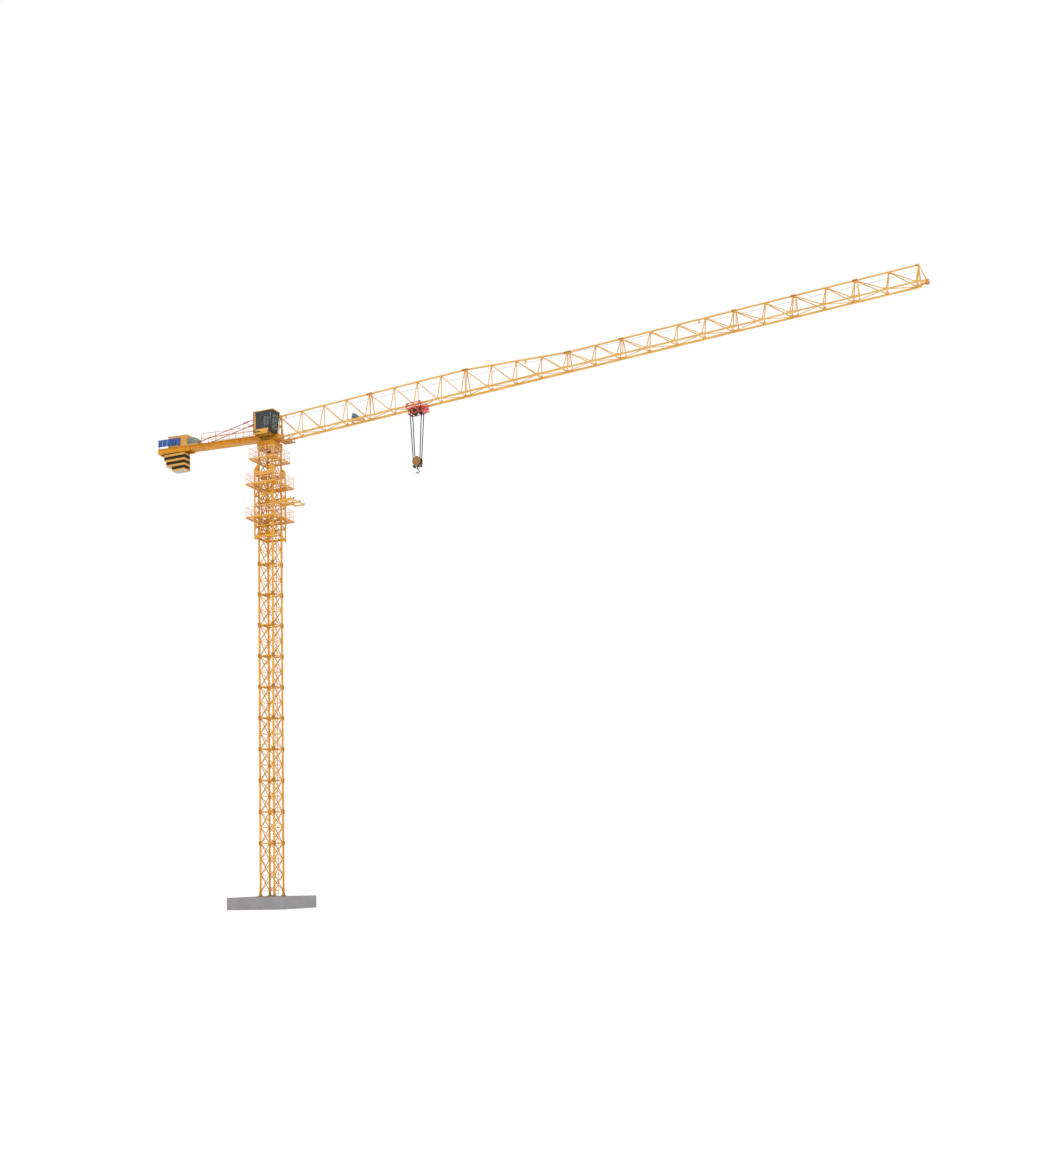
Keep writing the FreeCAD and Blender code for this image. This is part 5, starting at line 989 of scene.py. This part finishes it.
block(bm, (CX1 - 0.018, -0.247, CABINET_TOP - 0.004), (CX0 + 0.012, 0.247, CABINET_TOP + 0.014), counter_frame)
block(bm, (CX1 + 0.10, -0.13, CABINET_TOP + 0.012), (CX0 - 0.10, 0.13, CABINET_TOP + 0.026), counter_frame)
fit(bm, "cabinet_doors", cabinet_paint, "upperworks", bevel=0.002)
bm = bmesh.new()
for s in (1, -1):
    for k in range(3):
        x = CX1 + 0.02 + k * door
        round_bar(bm, (x + door - 0.040, s * 0.243, DECK + 0.24), (x + door - 0.040, s * 0.243, DECK + 0.32),
            0.007, 8, counter_frame)
        for z in (DECK + 0.10, DECK + 0.46):
            round_bar(bm, (x + 0.012, s * 0.237, z - 0.02), (x + 0.012, s * 0.237, z + 0.02), 0.006, 8,
                counter_frame)
fit(bm, "cabinet_handles", zinc, "upperworks")

# ---------------------------------------------------------------- sign panels
# Five plain sheet panels on light angle posts along the counter-jib's edge, on the cab's side; stove
# enamelled blue and left blank, with a folded rim.
SIGN_BLUE = "#1C4488"
SIGN_FACE = -0.285
SIGN_RIM = 0.012
sign_enamel = painted_steel("blue_sign_enamel", SIGN_BLUE, "#24509A", "#3E5C88", 0.3, 250.0, 25.0)
coat(sign_enamel, "sign_panels")
bm = bmesh.new()
for k in range(5):
    x1 = -4.730 - k * 0.270
    x0 = x1 - 0.240
    z0, z1 = DECK + 0.105, DECK + 0.455
    for xa, za, xb, zb in ((x0, z0, x1, z0 + SIGN_RIM), (x0, z1 - SIGN_RIM, x1, z1),
            (x0, z0, x0 + SIGN_RIM, z1), (x1 - SIGN_RIM, z0, x1, z1)):
        block(bm, (xa, SIGN_FACE, za), (xb, SIGN_FACE + 0.006, zb), counter_frame)
fit(bm, "sign_rims", sign_enamel, "upperworks")

# ---------------------------------------------------------------- hoist rope inside the jib
# Galvanised six-strand wire rope, greased dark, that runs from the winch through the tower head and
# over the jib's rope guides to its anchor on the tip post.
ROPE_PALE = "#8E8A84"
ROPE_WIRE = "#B4B0AA"


def wire_rope(name, lay_mm, grease_colour, wire_colour):
    material, tree, shader, place = new_finish(name, metallic=0.1, roughness=0.6)
    lay = add_node(tree, "TexWave", {"Vector": place, "Scale": per_metre(lay_mm) / 6.28, "Distortion": 0.4},
        bands_direction="DIAGONAL")
    grease = add_node(tree, "TexNoise", {"Vector": place, "Scale": per_metre(90.0), "Detail": 4.0})
    strand = add_node(tree, "Mix", {0: (lay, "Fac"), 6: srgb(grease_colour), 7: srgb(wire_colour)},
        data_type="RGBA")
    greased = add_node(tree, "Mix", {0: (grease, "Fac"), 6: (strand, 2), 7: srgb(grease_colour)},
        data_type="RGBA")
    bump = add_node(tree, "Bump", {"Strength": 0.5, "Distance": 0.002, "Height": (lay, "Fac")})
    feed(tree, shader, {"Base Color": (greased, 2), "Normal": (bump, 0)})
    return material


rope_finish = wire_rope("galvanised_wire_rope", 14.0, ROPE_PALE, ROPE_WIRE)
coat(rope_finish, "hoist_rope")
bm = bmesh.new()
for station in (0.340, 13.000, 21.000):
    depth = jib_depth(station) - 0.170
    round_bar(bm, (station, -0.026, depth + 0.020), (station, 0.026, depth + 0.020), 0.014, 20, jib_frame)
    for y in (-0.020, 0.020):
        block(bm, (station - 0.034, y - 0.004, depth - 0.006), (station + 0.034, y + 0.004, depth + 0.140),
            jib_frame)
fit(bm, "rope_guide_rollers", jib_paint, "upperworks", bevel=0.001)

# ---------------------------------------------------------------- counterweights
# Seven reinforced concrete slabs hung through the counter-jib's tail, in three lengths; painted in
# yellow and black warning bands over bare grey concrete that shows underneath.
BAND_YELLOW = "#D09A48"
BAND_BLACK = "#2A2014"
YELLOW_MM = 115.0
BLACK_MM = 155.0
FIRST_YELLOW_MM = 90.0
weight_low, weight_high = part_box("counterweights")
banded, tree, shader, place = new_finish("banded_concrete", roughness=0.7)
feed(tree, shader, {"Specular IOR Level": 0.2})
axes = add_node(tree, "SeparateXYZ", {0: place})
wobble = add_node(tree, "TexNoise", {"Vector": place, "Scale": per_metre(60.0), "Detail": 3.0})
lift = add_node(tree, "Math", {0: (axes, "Z"), 1: weight_low.z - (YELLOW_MM - FIRST_YELLOW_MM) / 1000},
    operation="SUBTRACT")
edge = add_node(tree, "Math", {0: (wobble, "Fac"), 1: 0.006, 2: (lift, 0)}, operation="MULTIPLY_ADD")
period = (YELLOW_MM + BLACK_MM) / 1000
share = add_node(tree, "Math", {0: (edge, 0), 1: period, 2: 0.0}, operation="WRAP")
is_black = add_node(tree, "Math", {0: (share, 0), 1: YELLOW_MM / 1000}, operation="GREATER_THAN")
bands = add_node(tree, "Mix", {0: (is_black, 0), 6: srgb(BAND_YELLOW), 7: srgb(BAND_BLACK)}, data_type="RGBA")
faces = add_node(tree, "NewGeometry", {})
facing = add_node(tree, "SeparateXYZ", {0: (faces, "True Normal")})
under = add_node(tree, "Math", {0: (facing, "Z"), 1: -0.5}, operation="LESS_THAN")
painted = add_node(tree, "Mix", {0: (under, 0), 6: (bands, 2), 7: srgb("#B9B4A8")}, data_type="RGBA")
pits = add_node(tree, "TexNoise", {"Vector": place, "Scale": per_metre(14.0), "Detail": 5.0})
scuffs = add_node(tree, "MapRange", {"Value": (pits, "Fac"), "From Min": 0.62, "From Max": 0.75,
    "To Max": 0.35})
worn = add_node(tree, "Mix", {0: (scuffs, 0), 6: (painted, 2), 7: srgb("#98948C")}, data_type="RGBA")
bump = add_node(tree, "Bump", {"Strength": 0.3, "Distance": 0.002, "Height": (pits, "Fac")})
feed(tree, shader, {"Base Color": (worn, 2), "Normal": (bump, 0)})
coat(banded, "counterweights")
bm = bmesh.new()
rod_middle, rod_length = (weight_low.x + weight_high.x) / 2, weight_high.x - weight_low.x + 0.08
for y in (-0.150, 0.150):
    bolt(bm, (rod_middle, y, weight_high.z - 0.14), (1, 0, 0), rod_length, 0.012, 0.024)
fit(bm, "weight_tie_rods", zinc, "upperworks")

# ---------------------------------------------------------------- service platform
# A small grating hung under the jib root for greasing the ring, with mesh on its two long sides.
service_low, service_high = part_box("service_platform")
bm = bmesh.new()
SERVICE_TOP = mast_top + 0.275
SERVICE_MESH = 0.150
for y in (service_low.y + 0.008, service_high.y - 0.008):
    mesh_panel(bm, (service_low.x + 0.06, y, SERVICE_TOP), (service_high.x - 0.04, y, SERVICE_TOP),
        (0, 0, SERVICE_MESH), 0.050, 0.070)
    for x in (service_low.x + 0.06, service_high.x - 0.04):
        round_bar(bm, (x, y, SERVICE_TOP - 0.010), (x, y, SERVICE_TOP + SERVICE_MESH), 0.008, 8)
fit(bm, "service_mesh", mesh_paint, "upperworks")

# ---------------------------------------------------------------- trolley
# A welded carriage that rolls on the jib's lower ledges: red paint, four flanged steel rollers,
# rubber buffers, and two shafts of grooved sheaves that carry the hoist rope.
TROLLEY_RED = "#D24036"
trolley_paint = painted_steel("red_trolley_paint", TROLLEY_RED, "#DA5848", "#8E3430", 0.4, 250.0, 25.0)
coat(trolley_paint, "trolley_basket")
coat(cast_steel, "trolley_rollers")
block_low, block_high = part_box("hook_block")
HANG_X = (block_low.x + block_high.x) / 2
trolley_frame = jib_frame @ Matrix.Translation(((HANG_X - jib_root.x) / math.cos(SLOPE), 0, 0))
TROLLEY_HALF = 0.380
PLATE_TOP, PLATE_FOOT = 0.085, -0.170
CHEEK_TOP, CHEEK_FOOT = -0.110, -0.380
ROLLER_X, ROLLER_Z = 0.31, 0.0223
PLATE_IN = 0.341
PLATE_OUT = 0.353
CHEEK_IN, CHEEK_OUT = 0.190, 0.204
bm = bmesh.new()
for s in (1, -1):
    near, far = s * PLATE_IN, s * PLATE_OUT
    block(bm, (-TROLLEY_HALF, near, 0.050), (TROLLEY_HALF, far, PLATE_TOP), trolley_frame)
    block(bm, (-TROLLEY_HALF, near, PLATE_FOOT), (TROLLEY_HALF, far, -0.130), trolley_frame)
    for x in (-0.365, 0.0, 0.365):
        block(bm, (x - 0.015, near, PLATE_FOOT), (x + 0.015, far, PLATE_TOP), trolley_frame)
    for x in (-ROLLER_X, ROLLER_X):
        block(bm, (x - 0.052, near, -0.060), (x + 0.052, far, PLATE_TOP), trolley_frame)
        bolt(bm, (x, s * PLATE_OUT, ROLLER_Z), (0, 1, 0), 0.030, 0.012, 0.022, trolley_frame)
        round_bar(bm, (x * 0.84, s * 0.347, -0.050), (0.0, s * 0.347, -0.150), 0.012, 6, trolley_frame)
    near, far = s * CHEEK_IN, s * CHEEK_OUT
    block(bm, (-0.350, near, CHEEK_FOOT), (0.350, far, -0.340), trolley_frame)
    block(bm, (-0.350, near, -0.150), (0.350, far, CHEEK_TOP), trolley_frame)
    for x in (-0.335, 0.335):
        block(bm, (x - 0.015, near, CHEEK_FOOT), (x + 0.015, far, CHEEK_TOP), trolley_frame)
    for x in (-0.145, 0.145):
        block(bm, (x - 0.055, near, CHEEK_FOOT), (x + 0.055, far, CHEEK_TOP), trolley_frame)
        round_bar(bm, (x, s * 0.190, -0.230), (x, s * 0.208, -0.230), 0.050, 24, trolley_frame)
for end in (1, -1):
    x = end * 0.350
    block(bm, (x - 0.030, -PLATE_IN, PLATE_FOOT), (x + 0.030, PLATE_IN, -0.110), trolley_frame)
    block(bm, (x - 0.030, -CHEEK_IN, CHEEK_FOOT), (x + 0.030, CHEEK_IN, -0.320), trolley_frame)
carriage = fit(bm, "trolley_carriage", trolley_paint, "trolley", bevel=0.002)
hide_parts("trolley_frame")
bm = bmesh.new()
for s in (1, -1):
    for end in (1, -1):
        round_bar(bm, (end * TROLLEY_HALF, s * 0.345, -0.080),
            (end * (TROLLEY_HALF + 0.045), s * 0.345, -0.080), 0.024, 18, trolley_frame, tip=0.018)
fit(bm, "trolley_buffers", trim_rubber, "trolley", smooth=True)

# roller flanges: a lip turned on the inner edge keeps each roller on its ledge
bm = bmesh.new()
for s in (1, -1):
    for x in (-ROLLER_X, ROLLER_X):
        seat = trolley_frame @ Matrix.Translation((x, s * 0.327, ROLLER_Z))
        turned(bm, [(0.020, -0.004), (0.020, 0.004), (0.049, 0.004), (0.049, -0.004)], seat, 28)
fit(bm, "roller_flanges", cast_steel, "trolley", smooth=True)

# sheaves: cast, with a turned rope groove and a bored hub, two on each shaft
SHEAVE = 0.130
SHEAVE_FLANGE = 0.142
SHEAVE_X = 0.145
SHEAVE_Y = 0.125
SHEAVE_DROP = 0.230
half_section = [(0.016, 0.024), (0.040, 0.024), (0.046, 0.008), (0.104, 0.007), (0.112, 0.017),
    (SHEAVE_FLANGE, 0.017), (SHEAVE_FLANGE, 0.013), (SHEAVE, 0.006)]
sheave_section = half_section + [(radius, -width) for radius, width in reversed(half_section)]
bm = bmesh.new()
for x in (-SHEAVE_X, SHEAVE_X):
    for y in (-SHEAVE_Y, SHEAVE_Y):
        turned(bm, sheave_section, trolley_frame @ Matrix.Translation((x, y, -SHEAVE_DROP)), 48)
    round_bar(bm, (x, -0.190, -SHEAVE_DROP), (x, 0.190, -SHEAVE_DROP), 0.0165, 24, trolley_frame)
sheaves = fit(bm, "grooved_sheaves", cast_steel, "trolley", smooth=True)
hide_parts("trolley_sheaves")
bm = bmesh.new()
for x in (-SHEAVE_X, SHEAVE_X):
    for s in (1, -1):
        bolt(bm, (x, s * 0.206, -SHEAVE_DROP), (0, 1, 0), 0.030, 0.014, 0.026, trolley_frame)
fit(bm, "shaft_ends", zinc, "trolley")

# basket: the wire sides of the one-man platform on the trolley's outer end
bm = bmesh.new()
x0, x1 = TROLLEY_HALF + 0.009, TROLLEY_HALF + 0.211
y0, y1, basket_foot = -0.231, 0.071, -0.385
corners = [(x, y, basket_foot) for x, y in ((x0, y0), (x1, y0), (x1, y1), (x0, y1))]
for a, b in zip(corners, corners[1:] + corners[:1]):
    mesh_panel(bm, a, b, (0, 0, 0.290), 0.030, 0.045, 0.002, trolley_frame)
fit(bm, "basket_mesh", trolley_paint, "trolley")

# ---------------------------------------------------------------- hoist rope falls
# Four falls of the same greased wire rope between the trolley's sheaves and the hook block; they
# lengthen as the hook is let down, so each runs from one body to the other.
ROPE = 0.022
ROPE_GAP = 0.0005
BLOCK_SHEAVE = 0.150
BLOCK_Y = 0.090
block_hub = Vector((HANG_X, 0, block_high.z - BLOCK_SHEAVE))
fall_finish = wire_rope("greased_fall_rope", 11.0, "#0D0D0E", "#18181A")
FALL_STEPS = 60
bm = bmesh.new()
for end in (1, -1):
    hub = trolley_frame @ Vector((end * SHEAVE_X, 0, -SHEAVE_DROP))
    run = block_hub - hub
    down = run.normalized()
    outward = Vector((-down.z, 0, down.x)) * end
    lean = (SHEAVE - BLOCK_SHEAVE) / run.length
    normal = outward * math.sqrt(1 - lean * lean) + down * lean
    for s in (1, -1):
        top = hub + normal * (SHEAVE + ROPE + ROPE_GAP) + Vector((0, s * SHEAVE_Y, 0))
        foot = block_hub + normal * (BLOCK_SHEAVE + ROPE + ROPE_GAP) + Vector((0, s * BLOCK_Y, 0))
        ring = round_bar(bm, top, foot, ROPE, 10)
        length = (top - foot).length
        fall = {e for v in ring for e in v.link_edges if abs(e.calc_length() - length) < 0.01}
        bmesh.ops.subdivide_edges(bm, edges=list(fall), cuts=FALL_STEPS, use_grid_fill=True)
falls = fit(bm, "rope_runs", fall_finish, None, smooth=True)
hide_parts("rope_falls")
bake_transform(falls)

# ---------------------------------------------------------------- hook block and hook
# Two sheaves between flame-cut cheek plates over a forged swivel hook: worn yellow-brown paint on
# the plates, dark greased sheaves, cast cheek weights, and a sprung latch across the hook's mouth.
block_paint = painted_steel("worn_block_paint", "#8A6222", "#9C7230", "#463620", 0.5, 90.0, 18.0)
forged = painted_steel("forged_hook_steel", "#1C1B1D", "#242327", "#302E2C", 0.6, 40.0, 8.0, shine=0.2)
weight_cast = painted_steel("cast_cheek_weights", "#48585A", "#566668", "#303839", 0.5, 80.0, 15.0)
coat(block_paint, "hook_block")
BLOCK_BOLTS = ((-0.165, -0.10), (0.165, -0.10), (-0.165, 0.0), (0.165, 0.0), (-0.045, -0.26), (0.045, -0.26))
coat(forged, "hook")
bm = bmesh.new()
for y in (-BLOCK_Y, BLOCK_Y):
    for s in (1, -1):
        turned(bm, [(0.060, s * 0.015), (0.060, s * 0.020), (0.162, s * 0.020), (0.162, s * 0.017),
            (0.148, s * 0.014)], Matrix.Translation(block_hub + Vector((0, y, 0))), 48)
fit(bm, "block_sheave_rims", cast_steel, "hook_assembly", smooth=True)
bm = bmesh.new()
for s in (1, -1):
    bolt(bm, block_hub + Vector((0, s * 0.134, 0)), (0, 1, 0), 0.040, 0.020, 0.034)
    for dx, dz in BLOCK_BOLTS:
        bolt(bm, block_hub + Vector((dx, s * 0.129, dz)), (0, 1, 0), 0.022, 0.008, 0.013)
fit(bm, "block_bolts", zinc, "hook_assembly")
bm = bmesh.new()
for dx in (-0.165, 0.165):
    round_bar(bm, block_hub + Vector((dx, -0.115, -0.10)), block_hub + Vector((dx, 0.115, -0.10)), 0.012, 14)
    for s in (1, -1):
        block(bm, block_hub + Vector((dx - 0.045, s * 0.060 - 0.030, -0.345)),
            block_hub + Vector((dx + 0.045, s * 0.060 + 0.030, -0.215)))
        block(bm, block_hub + Vector((dx * 0.62 - 0.030, s * 0.060 - 0.010, -0.275)),
            block_hub + Vector((dx * 0.62 + math.copysign(0.050, dx), s * 0.060 + 0.010, -0.235)))
fit(bm, "cheek_weights", weight_cast, "hook_assembly", bevel=0.012)
hook_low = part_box("hook")[0]
bm = bmesh.new()
eye = Vector((HANG_X, 0, hook_low.z + 0.102))
round_bar(bm, eye + Vector((0.010, 0, 0.078)), eye + Vector((-0.060, 0, 0.045)), 0.007, 8)
round_bar(bm, eye + Vector((0.014, -0.026, 0.080)), eye + Vector((0.014, 0.026, 0.080)), 0.010, 12)
fit(bm, "hook_latch", zinc, "hook_assembly", smooth=True)
bm = bmesh.new()
round_bar(bm, block_hub + Vector((0, 0, -0.400)), block_hub + Vector((0, 0, -0.270)), 0.036, 24)
round_bar(bm, block_hub + Vector((0, 0, -0.300)), block_hub + Vector((0, 0, -0.240)), 0.056, 6)
fit(bm, "hook_shank", forged, "hook_assembly", bevel=0.003)

# ---------------------------------------------------------------- floor, light and camera
# A plain pale studio floor under an even white sky, one broad soft sun from the front left, and the
# camera low in front of the cab side, tilted up at the crane and rolled a little.
floor_finish, tree, shader, place = new_finish("studio_floor", roughness=0.95)
haze = add_node(tree, "TexNoise", {"Vector": place, "Scale": 0.02})
pale = add_node(tree, "Mix", {0: (haze, "Fac"), 6: srgb("#F4F4F3"), 7: srgb("#F7F7F6")}, data_type="RGBA")
feed(tree, shader, {"Base Color": (pale, 2)})
floor_mesh = bpy.data.meshes.new("studio_floor")
bm = bmesh.new()
bmesh.ops.create_circle(bm, cap_ends=True, segments=64, radius=900.0)
bm.to_mesh(floor_mesh)
bm.free()
floor_mesh.materials.append(floor_finish)
floor = bpy.data.objects.new("studio_floor", floor_mesh)
bpy.context.scene.collection.objects.link(floor)

world = bpy.data.worlds.new("studio_sky")
world.use_nodes = True
feed(world.node_tree, world.node_tree.nodes["Background"], {"Color": (1.0, 1.0, 1.0, 1.0), "Strength": 1.0})
bpy.context.scene.world = world
sun_data = bpy.data.lights.new("soft_sun", "SUN")
sun_data.energy = 0.9
sun_data.angle = math.radians(35)
sun = bpy.data.objects.new("soft_sun", sun_data)
sun.rotation_euler = Vector((-0.55, 0.62, -0.75)).to_track_quat("-Z", "Y").to_euler()
bpy.context.scene.collection.objects.link(sun)
bpy.context.scene.view_settings.view_transform = "Standard"

LENS_MM = 38.52308
LENS_RISE = 0.156481
CAMERA_FROM_SLAB_TOP = Vector((33.915, -50.495, 0.915))
YAW, PITCH, ROLL = math.radians(-22.36), math.radians(4.79), math.radians(-1.28)
forward = Vector((math.sin(YAW) * math.cos(PITCH), math.cos(YAW) * math.cos(PITCH), math.sin(PITCH)))
level_right = Vector((math.cos(YAW), -math.sin(YAW), 0))
level_up = level_right.cross(forward)
right = math.cos(ROLL) * level_right + math.sin(ROLL) * level_up
up = -math.sin(ROLL) * level_right + math.cos(ROLL) * level_up
camera_data = bpy.data.cameras.new("camera")
camera_data.sensor_width = 36.0
camera_data.lens = LENS_MM
camera_data.shift_y = LENS_RISE
camera_data.clip_end = 2000.0
camera = bpy.data.objects.new("camera", camera_data)
turn = Matrix((right, up, -forward)).transposed().to_4x4()
camera.matrix_world = Matrix.Translation(Vector((0, 0, slab_high.z)) + CAMERA_FROM_SLAB_TOP) @ turn
bpy.context.scene.collection.objects.link(camera)
bpy.context.scene.camera = camera
